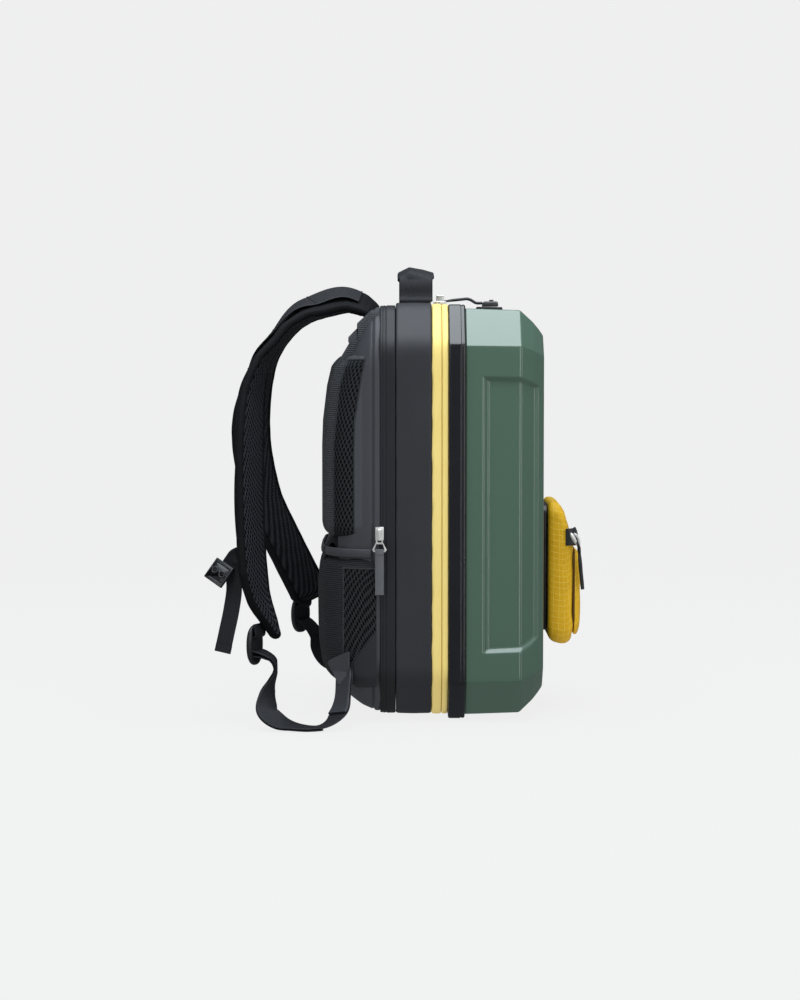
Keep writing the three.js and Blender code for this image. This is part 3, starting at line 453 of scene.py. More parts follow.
def sideRing(name, section, sizes, corner, material, node, wobble=None, step=0.6):
    # A closed section of [inset, y] points swept round the bag's outline. With a wobble, the
    # sides get close rows and each point moves by the wobble at its distance round the loop.
    half, low, high = sizes
    inset, y = resample(section, step, step, True).T
    sideZ = None if wobble is None else np.linspace(low + 62, high - 62, 90)
    loops = outline(half - inset, low + inset, high - inset,
                    np.maximum(corner["radius"] - inset, 2.0), y,
                    corner["chamfer"] - inset * chamferLoss, sideZ=sideZ)
    if wobble is not None:
        span = np.linalg.norm(np.diff(loops, axis=1, prepend=loops[:, :1]), axis=2).cumsum(1)
        loops = loops + wobble(span, inset[:, None], y[:, None])
    return gridPiece(name, loops, material, (node,), along=True)


def makeShell():
    # Outline loops carried along a profile from the open edge to the front. Each side sinks by the
    # recess's depth times a share that rises over its ends and its sloping edges.
    look = {"half": 150.5, "low": 4.5, "high": 450.5, "recess": 4.5, "wall": 2.5, "crease": 1.6,
            "cut": 43.0, "cutEnd": 3.2, "middle": 0.23}
    # y, inset, recess share, then the recess's ends: low, low floor, high floor, high
    rows = [
        (-9.5, 0, 0, 76, 81, 372, 377), (-28.6, 0.5, 0, 76, 81, 372, 377),
        (-33.4, 0.7, 1, 76, 81, 372, 377), (-69, 1.8, 1, 77, 83, 371, 376),
        (-83.4, 14.8, 1, 86, 92, 365, 370), (-89.6, 22, 0, 92, 98, 360, 365),
        (-95, 29.5, 0, 96, 102, 356, 361), (-97.4, 75, 0, 120, 125, 333, 338),
    ]
    line = resample(rows, 1.2, look["crease"])
    y, inset, share = line[:, 0], line[:, 1], line[:, 2]
    sideZ = np.concatenate([
        np.linspace(56, 66, 3), np.linspace(69, 108, 34), np.linspace(114, 343, 12),
        np.linspace(348, 384, 32), np.linspace(390, 398, 2)])
    loops = outline(look["half"] - inset, look["low"] + inset, look["high"] - inset,
                    np.full(len(y), look["cutEnd"]), y,
                    np.maximum(look["cut"] - (look["low"] + inset) * chamferLoss, 4),
                    sideZ=sideZ)
    z = loops[..., 2]
    low, lowFloor, highFloor, high = (line[:, k][:, None] for k in (3, 4, 5, 6))
    rise = np.clip(np.minimum((z - low) / (lowFloor - low), (high - z) / (high - highFloor)), 0, 1)
    depth = np.minimum(rise, share[:, None])
    depth = depth * depth * (3 - 2 * depth) * 0.35 + depth * 0.65
    onSide = np.abs(loops[..., 0]) > (look["half"] - inset)[:, None] - 0.01
    loops[..., 0] -= np.sign(loops[..., 0]) * depth * look["recess"] * onSide
    front = loops[-1].mean(0)
    closing = [front + (loops[-1] - front) * s for s in (0.6, 0.2, 0.02)]
    loops = np.concatenate([loops, np.stack(closing)])
    shell = gridPiece("shell_skin", loops, "shell", ("shell",), capped=False, sharp=60)
    facing = shell.data.polygons[len(shell.data.polygons) // 4]
    if facing.normal.dot(facing.center - Vector((0, 0, look["middle"]))) < 0:
        shell.data.flip_normals()
    work = bmesh.new()
    work.from_mesh(shell.data)
    hole = [e for e in work.edges if e.is_boundary and e.verts[0].co.y < -0.09]
    bmesh.ops.contextual_create(work, geom=hole)  # closes the last small loop at the front
    work.to_mesh(shell.data)
    work.free()
    wall = shell.modifiers.new("wall", "SOLIDIFY")
    wall.thickness, wall.offset, wall.use_even_offset = look["wall"] * mm, -1, False


makeShell()


def makeRim():  # section of inset and y, with a fine groove near each edge
    section = [
        (1.4, 9.2), (0.4, 8.7), (0, 7.6), (0, -3.6), (0.15, -4.1), (0.7, -4.6), (0.7, -5.6),
        (0.15, -6.1), (0.2, -7.4), (0.8, -8.5), (1.8, -9.2), (10, -9.2), (10, 9.2),
    ]
    return sideRing("rim_ring", section, (155, 0, 455), rimCorner, "rim", "rim_frame", step=0.45)


makeRim()


def pucker(span, inset, y, size=0.35, edge=27.3):
    # Small gathers along the tape's rear edge: waves of a few lengths added together.
    near = np.clip(1 - (edge - y) / 6, 0, 1) * (inset < 2)
    wave = np.sin(span / 7.1) + 0.7 * np.sin(span / 3.7 + 1.3) + 0.5 * np.sin(span / 17.0)
    shift = np.zeros((*span.shape, 3))
    shift[..., 1] = size * near * wave
    return shift


def makeZips():
    front = [(1.3, 9.6), (0.5, 10.4), (0.1, 12.0), (0, 14.0), (0.4, 15.8), (1.4, 16.5),
             (3.2, 16.5), (3.2, 9.6)]
    rear = [(1.4, 16.8), (0.4, 17.4), (0.0, 19.0), (0, 24.5), (0.5, 26.4), (1.8, 27.3),
            (3.6, 27.3), (3.6, 16.8)]
    tape = (153, 3.5, 455.5)
    sideRing("zip_front", front, tape, softCorner, "zip", "zip_tape_front",
             lambda s, i, y: pucker(s, i, y, 0.0))
    sideRing("zip_rear", rear, tape, softCorner, "zip", "zip_tape_rear", pucker)
    band = [(1.6, 27.6), (0.5, 28.2), (0.05, 30), (0, 35), (-0.3, 47), (0, 60), (0.2, 64.4),
            (0.7, 66.0), (2.0, 66.6), (4.2, 66.6), (4.2, 27.6)]
    sideRing("body_band", band, (153, 4, 457), softCorner, "body", "main_band",
             lambda s, i, y: pucker(s, i, y, 0.2, 66.0), step=0.9)
    laptop = [(2, 66.9), (1.2, 67.5), (0.9, 69), (0.9, 76.2), (1.3, 77), (1.9, 77.6),
              (1.3, 78.1), (1, 78.7), (1, 80), (1.3, 80.5), (1.9, 81), (1.3, 81.6), (1.1, 82.4),
              (1.9, 83.8), (3.8, 83.8), (4.4, 66.9)]
    sideRing("laptop_zip_band", laptop, (153, 3.5, 455), softCorner, "laptop", "laptop_zip",
             step=0.4)


makeZips()
print("shell, rim and zips made")


def makeBack():
    rows = [  # y, half, low, high, radius
        (79.5, 148, 9, 448, 66), (84.3, 151.2, 5.2, 453, 69), (86, 152, 4.2, 453.8, 70),
        (93, 150.5, 8, 448, 66), (104, 146, 13, 430, 60), (118, 139, 24, 400, 52),
        (127, 131, 36, 380, 44), (130, 122, 46, 368, 36), (130.6, 60, 110, 300, 20)]
    line = resample(rows, 0.9, 4.5)
    y, half, low, high, radius = line.T
    groove = np.exp(-((y - 91.2) / 1.1) ** 2) * 2.2
    loops = outline(half - groove, low + groove * 0.5, high - groove * 0.5, radius, y, arcSteps=10)
    return gridPiece("back_cloth", loops, "smooth", ("back_panel",))


makeBack()


def padMarks(inMesh, smooth):
    # Zone of each point, and how near it is to the piping, from the distances into the mesh zone
    # and into the smooth zone.
    zone = np.clip(inMesh / 0.4 + 0.5, 0, 1)
    piping = np.exp(-(inMesh / 1.1) ** 2)
    zone = np.where(smooth > 0, 2.0, zone)
    piping = np.maximum(piping * (smooth < -1), np.exp(-(smooth / 0.9) ** 2))
    return {"zone": zone, "piping": piping}


def makeTopPad():
    # Three padded steps in y and z, each a ledge and a face, carried across in x.
    half = 118
    steps = [(90, 446, 106, 433), (104, 428, 115.5, 418), (112, 414, 126, 392)]
    line = [(86, 438), (86, 449)]
    for y0, z0, y1, z1 in steps:
        line += [(y0 + 3, z0 + 3), (y1 + 3.4, z1 + 0.8), (y1 + 2.6, z1 - 1.2)]
    line += [(131, 386), (126, 383)]
    section = resample(line, 0.9, 1.2, True)
    x = np.linspace(-half, half, 90)
    grid = np.stack(np.broadcast_arrays(x[:, None], section[None, :, 0], section[None, :, 1]), -1)
    ends = np.clip((half - np.abs(x)) / 5, 0, 1)[:, None]
    grid[..., 2] -= (1 - np.sqrt(1 - (1 - ends) ** 2)) * 4
    piece = gridPiece("top_pad_cloth", grid, "pad", ("top_pad",),
                      marks={"zone": np.zeros(grid.shape[:2]), "piping": np.zeros(grid.shape[:2])})


makeTopPad()


def makeUpperPads():
    # A section seen from above, carried up in z; both ends round off and the top leans forward.
    look = {"low": 200.5, "lowRound": 16, "high": 402, "highRound": 14, "pull": 13, "fill": 0.6}
    section = [(146.8, 98), (146.8, 103), (142.5, 118), (134, 132), (112, 143), (62, 149), (28, 147),
               (14, 139), (12, 125)]
    line = resample(section, 1.1, 5.0)
    headStart = look["high"] - look["highRound"]
    z = np.concatenate([look["low"] + look["lowRound"] * (1 - np.cos(np.linspace(0, pi / 2, 14))),
                        np.linspace(218, 386, 110),
                        headStart + look["highRound"] * np.sin(np.linspace(0, pi / 2, 12))])
    low = np.clip((217 - z) / 16.6, 0, 1)
    high = np.clip((z - headStart) / look["highRound"], 0, 1)
    end = look["pull"] * (1 - np.sqrt(1 - np.maximum(low, high) ** 2 * 0.97))
    lean = np.interp(z, [200, 300, 328, 366, 387, 397, 402], [0, 0, 1, 5.6, 10.5, 17, 22])
    x = line[None, :, 0] - end[:, None] * 0.6
    y = (line[None, :, 1] - end[:, None] * 0.8
         - lean[:, None] * np.clip((line[None, :, 1] - 100) / 30, 0, 1))
    crown = np.exp(-((line[:, 1] - 124) / 8) ** 2)[None] * 1.4
    grid = np.stack([np.maximum(x + crown, 12.0), y, z[:, None] + 0 * x], -1)
    front = np.interp(z, [300, 328, 366, 392], [134.6, 132, 128, 120])[:, None]
    rear = np.interp(z, [300, 330, 378, 401], [112, 111, 103.5, 98])[:, None]
    onSide = np.where(line[None, :, 0] > 100, 0, 99)
    marks = padMarks(np.minimum(front - y, 396 - z[:, None]) - onSide, rear - y - onSide)
    for side, name in ((1, "right"), (-1, "left")):
        placed = grid * np.array([side, 1, 1])
        bed = placed[:, ::-1] * np.array([0.97, 1, 1])
        bed[..., 1] = 97
        whole = np.concatenate([placed, bed[:, ::8]], 1)
        filled = {key: np.pad(values, ((0, 0), (0, whole.shape[1] - values.shape[1])))
                  for key, values in marks.items()}
        piece = gridPiece(f"upper_pad_{name}_cloth", whole, "pad", (f"upper_pad_{name}",),
                          marks=filled)


makeUpperPads()


def lumbarSide(half, rear):  # half of the lumbar pad's outline seen from above
    return [(half + 4.6, 88), (half + 3.6, 97), (half - 1, 111), (half - 12, rear - 22),
            (half - 34, rear - 8), (half - 78, rear), (0, rear + 0.8)]


def makeLumbarPad():
    # Outlines from above at each height. Their lower front corners are smooth cloth, and the hem
    # over the sleeve's mouth stops short of the laptop tab.
    look = {"hem": 185.2, "sleeve": 98, "cleared": 97, "blur": 5}
    rows = [(34, 112, 122), (37, 132, 131), (41, 144, 138), (50, 149.3, 145), (60, 149.3, 149),
            (84, 149.3, 152.3), (104, 148.8, 153), (150, 148.4, 153.5), (172, 147.5, 151),
            (177, 146.5, 148.5), (180, 143.5, 144.5)]
    z, half, rear = resample(rows, 1.6, 3.0).T
    side = np.stack([lumbarSide(h, r) for h, r in zip(half, rear)])
    share = arcLength(side[len(z) // 2])
    at = np.linspace(0, share[-1], 150)
    room = np.clip(np.minimum(at, share[-1] - at) / look["blur"], 0, 1)[:, None]
    spots = at[:, None] + np.linspace(-look["blur"], look["blur"], 7) * room
    right = np.stack([[np.interp(spots, share, row[:, k]).mean(1) for k in (0, 1)] for row in side])
    x = np.concatenate([right[:, 0], -right[:, 0, ::-1][:, 1:]], 1)
    y = np.concatenate([right[:, 1], right[:, 1, ::-1][:, 1:]], 1)
    outer = np.stack([x, y, z[:, None] + 0 * x], -1)
    inner = outer * np.array([0.93, 1, 1]) - np.array([0, 10, 0])
    inner[..., 1] = np.maximum(inner[..., 1], 90)
    grid = np.concatenate([outer, inner[::-1]]).transpose(1, 0, 2)
    slope = 100.6 - (grid[..., 1] - 89) * 37 / 27 - grid[..., 2]
    edge = np.minimum(124 - grid[..., 1], 169 - grid[..., 2])
    marks = padMarks(edge, np.where(np.abs(grid[..., 0]) > 95, slope, -9))
    piece = gridPiece("lumbar_cloth", grid, "lumbar", ("lumbar_pad",), marks=marks)
    hemLine = right[len(z) // 2].T
    hemLine = np.concatenate([hemLine, (hemLine * [-1, 1])[::-1][1:]])
    hemLine = hemLine[hemLine[:, 1] > look["cleared"]]
    path = np.concatenate([hemLine - [0, 4.5], np.full((len(hemLine), 1), look["hem"])], 1)
    section = resample([(-1.6, -5), (1.2, -4.4), (1.8, 0), (1.2, 4.4), (-1.6, 5)], 0.7, 0.8, True)
    run = np.gradient(path, axis=0)
    out = unit(np.stack([run[:, 1], -run[:, 0]], -1))
    out *= np.sign((out * path[:, :2]).sum(1))[:, None]
    rise = np.broadcast_to(section[None, :, 1:], (len(path), len(section), 1))
    hem = path[:, None] + np.concatenate([out[:, None] * section[None, :, :1], rise], -1)
    gridPiece("sleeve_hem_band", hem, "smooth", ("sleeve_hem",))
    run = np.linspace(-look["sleeve"], look["sleeve"], 60)[:, None]
    section = resample([(127, 208), (134, 203), (144, 192.5), (147, 187), (147.4, 177), (144.6, 177),
                        (143.6, 186), (137, 194), (133.4, 190), (132, 178), (128.6, 178), (127, 203)],
                       1.0, 1.0, True)
    sag = 0.5 * np.sin(run / 7) * np.sin(run / 19 + 1)
    lining = np.broadcast_arrays(run, section[None, :, 0] + sag, section[None, :, 1])
    gridPiece("sleeve_lining_cloth", np.stack(lining, -1), "body")


makeLumbarPad()
print("back and pads made")


def curveThrough(stations, t):
    # Centripetal Catmull-Rom curve: each span leaves and enters its stations along the slope
    # given by their neighbours, weighted by the roots of the distances between them.
    p = np.asarray(stations, float)
    place = np.asarray(t) * (len(p) - 1)
    i = np.clip(np.floor(place).astype(int), 0, len(p) - 2)
    w = (place - i)[:, None]
    ends = np.vstack([2 * p[0] - p[1], p, 2 * p[-1] - p[-2]])
    p0, p1, p2, p3 = (ends[i + k] for k in range(4))
    d0, d1, d2 = (np.sqrt(np.maximum(np.linalg.norm((b - a)[:, :3], axis=1), 1e-6))[:, None]
                  for a, b in ((p0, p1), (p1, p2), (p2, p3)))
    m1 = ((p1 - p0) / d0 - (p2 - p0) / (d0 + d1) + (p2 - p1) / d1) * d1
    m2 = ((p2 - p1) / d1 - (p3 - p1) / (d1 + d2) + (p3 - p2) / d2) * d1
    return p1 + m1 * w + (3 * (p2 - p1) - 2 * m1 - m2) * w ** 2 + (2 * (p1 - p2) + m1 + m2) * w ** 3


def stripFrames(stations, t):
    # Centre, width direction and outward direction at each t along the stations.
    line = curveThrough(stations, t)
    centre, across = line[:, :3], line[:, 3:]
    ahead = curveThrough(stations, np.minimum(np.asarray(t) + 1e-3, 1))[:, :3]
    behind = curveThrough(stations, np.maximum(np.asarray(t) - 1e-3, 0))[:, :3]
    run = unit(ahead - behind)
    across = unit(across - run * (across * run).sum(1)[:, None])
    return centre, across, unit(np.cross(across, run))


def sweep(frames, profile):
    # Profile points (a, b) carried along: centre + a * across + b * outward.
    centre, across, outward = frames
    profile = np.broadcast_to(profile, (len(centre), *np.shape(profile)[-2:]))
    return (centre[:, None] + across[:, None] * profile[..., :1]
            + outward[:, None] * profile[..., 1:])


# Stations of a strap or tape: x, y, z, then the direction of its width.
leftStrap = [
    (-70, 84, 436, .97, -.05, .24), (-70, 93, 447.5, .97, -.05, .24), (-70, 104, 455.5, .95, 0, .31),
    (-71, 122, 460, .95, 0, .31), (-76, 145, 456, .95, 0, .31), (-82, 167, 448, .95, -.05, .3),
    (-88, 183, 434, .96, -.1, .25), (-96, 197, 415, .98, -.15, .15), (-104, 210, 396, .99, -.12, .05),
    (-112, 217, 378, .98, -.2, 0), (-120, 222, 356, .95, -.28, 0), (-132, 224.5, 318, .94, -.34, 0),
    (-142, 225, 265, .935, -.355, 0), (-148, 223.5, 208, .935, -.355, 0),
    (-152, 221, 168, .935, -.355, 0), (-154, 216.5, 135, .93, -.36, .1),
    (-155, 210, 113.5, .92, -.38, .15), (-156, 204, 103, .92, -.38, .15)]
rightStrap = [(-x, y, z, a, -b, -c) for x, y, z, a, b, c in leftStrap[:5]] + [
    (80, 167, 449, .95, -.05, -.3), (84, 184, 438, .96, -.1, -.25),
    (89, 202, 418, .98, -.15, -.15), (94, 217, 394, .96, -.25, -.05), (98, 228, 366, .9, -.43, 0),
    (100, 236, 328, .8, -.6, 0), (99, 236, 293, .77, -.64, 0),
    (98, 230, 258, .77, -.64, 0), (97, 221.8, 228, .77, -.64, 0), (97, 205.5, 193, .77, -.64, 0),
    (97, 188, 157.5, .77, -.64, 0), (98, 170.4, 122, .77, -.64, 0), (98, 166, 110, .77, -.64, 0)]


def tapePiece(name, stations, t, profile, material="webbing", nodes=()):
    return gridPiece(name, sweep(stripFrames(stations, t), profile), material, nodes)


def tapeProfile(width, thick):
    w, h = width / 2, thick / 2
    corners = [(-w, 0), (-w + h, h), (w - h, h), (w, 0), (w - h, -h), (-w + h, -h)]
    return resample(corners, 0.9, 0.3, True)


def makeStrap(stations, side):
    # Padded section carried along the stations, narrowing to its tip, with a looped tape on it.
    look = {"left": (0.17, 0.07, 0.62, 0.85, 13), "right": (0.06, 0.3, 0, 0.35, 0), "samples": 260,
            "bar": 8 / 60, "barEnd": {"left": 50 / 60, "right": 54 / 60}, "tape": 38, "half": 31.5}
    length, tip, lean, power, drop = look[side]  # of the tip: share, width, lean, curve, fall
    ending = np.array(stations[-1]) - [0, drop * 0.1, drop, 0, 0, 0]
    visible = stations[:-1] + [tuple(ending)]
    quarter = [(0, 5.9), (8, 5.8), (16, 5.4), (21, 4.9), (23.8, 4.4), (25.0, 3.7), (25.8, 4.0),
               (27.2, 4.8), (29.2, 4.3), (30.9, 2.6), (31.5, 0)]
    top = [(-a, b) for a, b in quarter[:0:-1]] + quarter
    profile = np.array(top + [(a, -b) for a, b in top[-2:0:-1]], float)
    profile = resample(profile, 1.1, 0.5, True)
    t = np.linspace(0.045, 1, look["samples"])
    t = 1 - (1 - t) ** 1.25  # more rows near the tip
    edge = np.clip((1 - t) / length, 0, 1)
    width = tip + (1 - tip) * edge ** power
    close = np.clip((1 - t) / 0.012, 0, 1)
    thick = np.maximum(np.sqrt(1 - (1 - close) ** 2), 0.25)
    wrinkle = 1 + 0.035 * np.sin(t * 150) * np.sin(t * 37 + 1)
    shape = profile[None] * np.stack([width, thick * wrinkle], -1)[:, None]
    shape[..., 0] += (lean * (1 - width) * look["half"])[:, None]
    grid = sweep(stripFrames(visible, t), shape)
    inner = np.broadcast_to((profile[:, 1] < 0) * 1.0, grid.shape[:2])
    bound = np.broadcast_to((np.abs(profile[:, 0]) > 25.2) * 1.0, grid.shape[:2])
    bound = np.maximum(bound, ((1 - t) < 0.012)[:, None] * 1.0)
    piece = gridPiece(f"strap_{side}_cloth", grid, "strap", (f"shoulder_strap_{side}",),
                      marks={"zone": inner, "piping": bound})
    tape = tapeProfile(look["tape"], 1.6)
    s = np.linspace(look["bar"], look["barEnd"][side], 300)
    wave = np.abs(np.sin(pi * (s * 60 - 8) / 8)) ** 1.3
    lift = 7.3 + 2.4 * wave
    shrink = np.interp(s, t, 1 - width) * look["half"]
    lifted = tape[None] + np.stack([lean * shrink, lift], -1)[:, None]
    tapePiece(f"strap_tape_{side}", stations, s, lifted, nodes=(f"strap_webbing_{side}",))
    for k, middle in enumerate(range(8, 50, 8)):  # stitched bars across the tape
        bar = np.linspace(middle / 60 - 0.0018, middle / 60 + 0.0018, 5)
        rise = np.array([7.9, 8.5, 8.6, 8.5, 7.9])
        pad = resample([(-18, -0.5), (-18, 0.25), (18, 0.25), (18, -0.5)], 1.0, 0, True)
        shape = pad[None] + np.stack([0 * rise, rise], -1)[:, None]
        tapePiece(f"bar_tack_{side}_{k}", stations, bar, shape)


makeStrap(leftStrap, "left")
makeStrap(rightStrap, "right")


def endFrame(stations):
    # Frame at a strap's lower end: origin, then x across the strap, y outwards, z up.
    centre, across, outward = (v[0] for v in stripFrames(stations, [1.0]))
    side = unit(across * [1, 1, 0])
    out = outward * [1, 1, 0]
    return centre, side, unit(out - side * (out @ side)), np.array([0, 0, 1.0])


def inFrame(base, points):
    centre, x, y, z = base
    points = np.asarray(points, float)
    return centre + points[:, :1] * x + points[:, 1:2] * y + points[:, 2:3] * z


lockPlace = {"out": 17, "down": 17, "slotLow": 4.5, "slotHigh": 9.5}


def lowerWebbing(strap, stations, side, samples):
    base = endFrame(strap)
    slotZ = -lockPlace["down"] - (lockPlace["slotLow"] + lockPlace["slotHigh"]) / 2
    entry = inFrame(base, [(0, lockPlace["out"] + 1, slotZ), (0, lockPlace["out"] - 5, slotZ + 0.5)])
    path = [(*p, *base[1]) for p in entry] + list(stations)
    t = np.linspace(0, 1, samples)
    tapePiece(f"lower_webbing_{side}_tape", path, t, tapeProfile(25, 1.8),
              nodes=(f"lower_webbing_{side}",))
    return path


leftWebbing = [
    (-157, 199, 71, 1, -.1, 0), (-160, 196, 60, 1, 0, 0), (-171, 199, 45, .95, -.2, 0),
    (-186, 203, 31, .8, -.6, 0), (-199, 203, 20, .7, -.6, .35), (-206, 193, 12, .8, -.35, .45),
    (-208, 177, 6.6, .95, -.1, .15), (-208, 158, 4.0, 1, 0, 0), (-206, 145, 4.8, .95, .3, -.05),
    (-200, 134.5, 9.5, .75, .55, -.1), (-190, 127.5, 17.5, .42, .72, -.17),
    (-174, 124, 28, .44, .74, -.5), (-158, 122.5, 37, .44, .72, -.6),
    (-146, 122, 46, .5, .7, -.45), (-140, 122, 56, .68, .7, -.2),
    (-139.5, 122, 66, .7, .7, 0)]
rightWebbing = [
    (101, 160, 68, .74, -.67, 0), (102.5, 158.5, 56, .72, -.69, .1),
    (109.6, 151.7, 43.5, .58, -.55, .6), (120.4, 141.4, 36.5, .14, -.14, .98),
    (132, 130.3, 37.5, -.2, .2, .95), (138.4, 124.1, 44, -.5, .5, .65),
    (140.5, 122, 54, -.7, .7, 0), (139.5, 121.5, 66, -.7, .7, 0)]


def makeLowerWebbings():
    # Both webbings, then the left one's second layer and the cloth that holds its end; shares are
    # of the webbing's stations.
    look = {"tail": (0.02, 0.58), "anchor": (0.695, 0.97), "gap": 2.1, "open": 4.0}
    path = lowerWebbing(leftStrap, leftWebbing, "left", 260)
    lowerWebbing(rightStrap, rightWebbing, "right", 120)
    t = np.linspace(*look["tail"], 180)
    gap = look["gap"] + look["open"] * np.exp(-((t - look["tail"][0]) / 0.07) ** 2)
    shape = tapeProfile(25, 1.6)[None] + np.stack([0 * gap, gap], -1)[:, None]
    tapePiece("lower_webbing_tail", path, t, shape)
    anchor = tapeProfile(24, 2.2) - np.array([0, 2.3])
    tapePiece("webbing_anchor_left", path, np.linspace(*look["anchor"], 70), anchor, "body")


makeLowerWebbings()


def makeWings():
    # Three-cornered cloth that narrows from the bag's rear corner to the webbing: rows of height,
    # front edge and rear edge, laid on a slope, y to x, that follows the corner.
    look = {"corner": 148, "front": 117, "slope": 0.8, "low": 56, "flare": 0.55}
    rows = [(78, 117, 118.5), (74, 117, 126.5), (70, 117, 134), (66.8, 117, 139.5), (64.5, 117, 141),
            (61.5, 117, 140), (53, 117, 134.5), (46, 117, 130.5), (43, 117.5, 130)]
    z, front, rear = resample(rows, 0.9, 1.8).T
    flat = resample([(-.5, 0), (-.48, 1.2), (.48, 1.2), (.5, 0), (.48, -1.2), (-.48, -1.2)], 0.08,
                    0, True)
    for side, name in ((-1, "left"), (1, "right")):
        y = (front + rear)[:, None] / 2 + (rear - front)[:, None] * flat[None, :, 0]
        flare = np.clip(look["low"] - z, 0, None)[:, None] * look["flare"]
        x = look["corner"] - (y - look["front"]) * look["slope"] + flare
        x = x + flat[None, :, 1] * 0.74
        y = y + flat[None, :, 1] * 0.67
        gridPiece(f"webbing_wing_{name}", np.stack([side * x, y, z[:, None] + 0 * y], -1), "smooth")


makeWings()


def lockTab(strap, start, side):
    # Short tape from the strap's outer face to the lock's upper slot.
    base = endFrame(strap)
    line = [(start, 6.5), (start * 0.5 + 5, 2), (10.5, -6), (15.5, -10.2)]
    stations = [(*inFrame(base, [(0, y, z)])[0], *base[1]) for y, z in line]
    tapePiece(f"lock_tab_{side}_tape", stations, np.linspace(0, 1, 24), tapeProfile(25, 1.8),
              nodes=(f"lock_tab_{side}",))


lockTab(leftStrap, 12.6, "left")
lockTab(rightStrap, 10.6, "right")


def makeLadderLock(strap, side):
    # Domed oval plate over the webbing's turn; rows go from the middle of its back to its front.
    look = {"half": (16, 22), "rows": [
        (0.05, -2.2), (0.6, -2.6), (0.9, -3), (0.99, -1.8), (1, 0), (0.97, 1.6), (0.86, 3.4),
        (0.66, 4.8), (0.36, 5.6), (0.05, 5.8)]}
    turn = np.linspace(0, 2 * pi, 48, endpoint=False)
    oval = np.stack([np.sign(np.cos(turn)) * np.abs(np.cos(turn)) ** 0.8 * look["half"][0],
                     np.sign(np.sin(turn)) * np.abs(np.sin(turn)) ** 0.9 * look["half"][1]], -1)
    scale, depth = resample(look["rows"], 0.16, 0.16).T
    base = endFrame(strap)
    loops = [inFrame(base, np.stack([oval[:, 0] * k, lockPlace["out"] + d + 0 * turn,
                                     oval[:, 1] * k - lockPlace["down"]], -1))
             for k, d in zip(scale, depth)]
    gridPiece(f"ladder_lock_{side}_dome", np.stack(loops), "plastic",
              (f"ladder_lock_{side}",), sharp=80)


makeLadderLock(leftStrap, "left")
makeLadderLock(rightStrap, "right")


def makeChestStrap():
    # Left half of the chest strap: the buckle's sole and eyes, the tape to it and the loose tail.
    look = {"place": (-156.8, 257.4, 165.0), "side": (.483, .732, .455), "up": (.1, -.57, .81)}
    side, up = unit(np.array(look["side"])), np.array(look["up"])
    up = unit(up - side * (up @ side))
    base = (np.array(look["place"]), side, up, np.cross(side, up))
    slot = [(*inFrame(base, [(0, y, z)])[0], *side) for y, z in ((11.5, 7.5), (6.5, 5), (5.25, 0))]
    lead = [(-144.3, 233.3, 184, 0, 0, 1), (-150.6, 239.6, 181.5, .1, .25, .97)] + slot
    tail = [(-161, 254, 79, .35, .9, .15), (-159.5, 249.5, 100, .35, .9, .15),
            (-157, 244.3, 125, .35, .9, .15), (-154, 241.5, 148, .4, .88, .2),
            (-150.5, 243.5, 168, .45, .85, .2), (-149.5, 245.5, 174, .47, .83, .2)]

    def buckleTrim(name, grid, along=False):  # piece given in the buckle's own frame
        turned = inFrame(base, grid.reshape(-1, 3)).reshape(grid.shape)
        gridPiece(name, turned, "plastic", along=along)

    sole = outline(np.array([9.8, 10.2, 10.2, 9.8]), np.array([-8.2, -8.6, -8.6, -8.2]),
                   np.array([8.2, 8.6, 8.6, 8.2]), np.full(4, 2.0), np.array([-1.3, -0.9, 0.9, 1.3]),
                   arcSteps=3, topSteps=4)[..., [0, 2, 1]]
    buckleTrim("chest_buckle_sole", sole)
    turn = np.linspace(0, 2 * pi, 28, endpoint=False)
    ring = resample([(4.2, 1.2), (4.2, 2.9), (3.7, 3.2), (2.6, 3.2), (2.2, 2.9), (2.2, 1.2)],
                    0.4, 0.2, True)
    for k, middle in enumerate((-5.2, 5.2)):
        hoop = np.stack([middle + ring[None, :, 0] * np.cos(turn)[:, None],
                         ring[None, :, 0] * np.sin(turn)[:, None],
                         -ring[None, :, 1] + 0 * turn[:, None]], -1)
        buckleTrim(f"chest_buckle_eye_{k}", hoop, True)
        buckleTrim(f"chest_buckle_eye_out_{k}", hoop * [1, 1, -1], True)
    for name, path, node in (("chest_lead_tape", lead, "chest_webbing"),
                             ("chest_tail_tape", tail, "chest_tail")):
        tapePiece(name, path, np.linspace(0, 1, 70), tapeProfile(19, 1.8), nodes=(node,))
    tapePiece("chest_tail_hem", tail, np.linspace(0, 0.085, 14), tapeProfile(19.6, 4.2))


makeChestStrap()


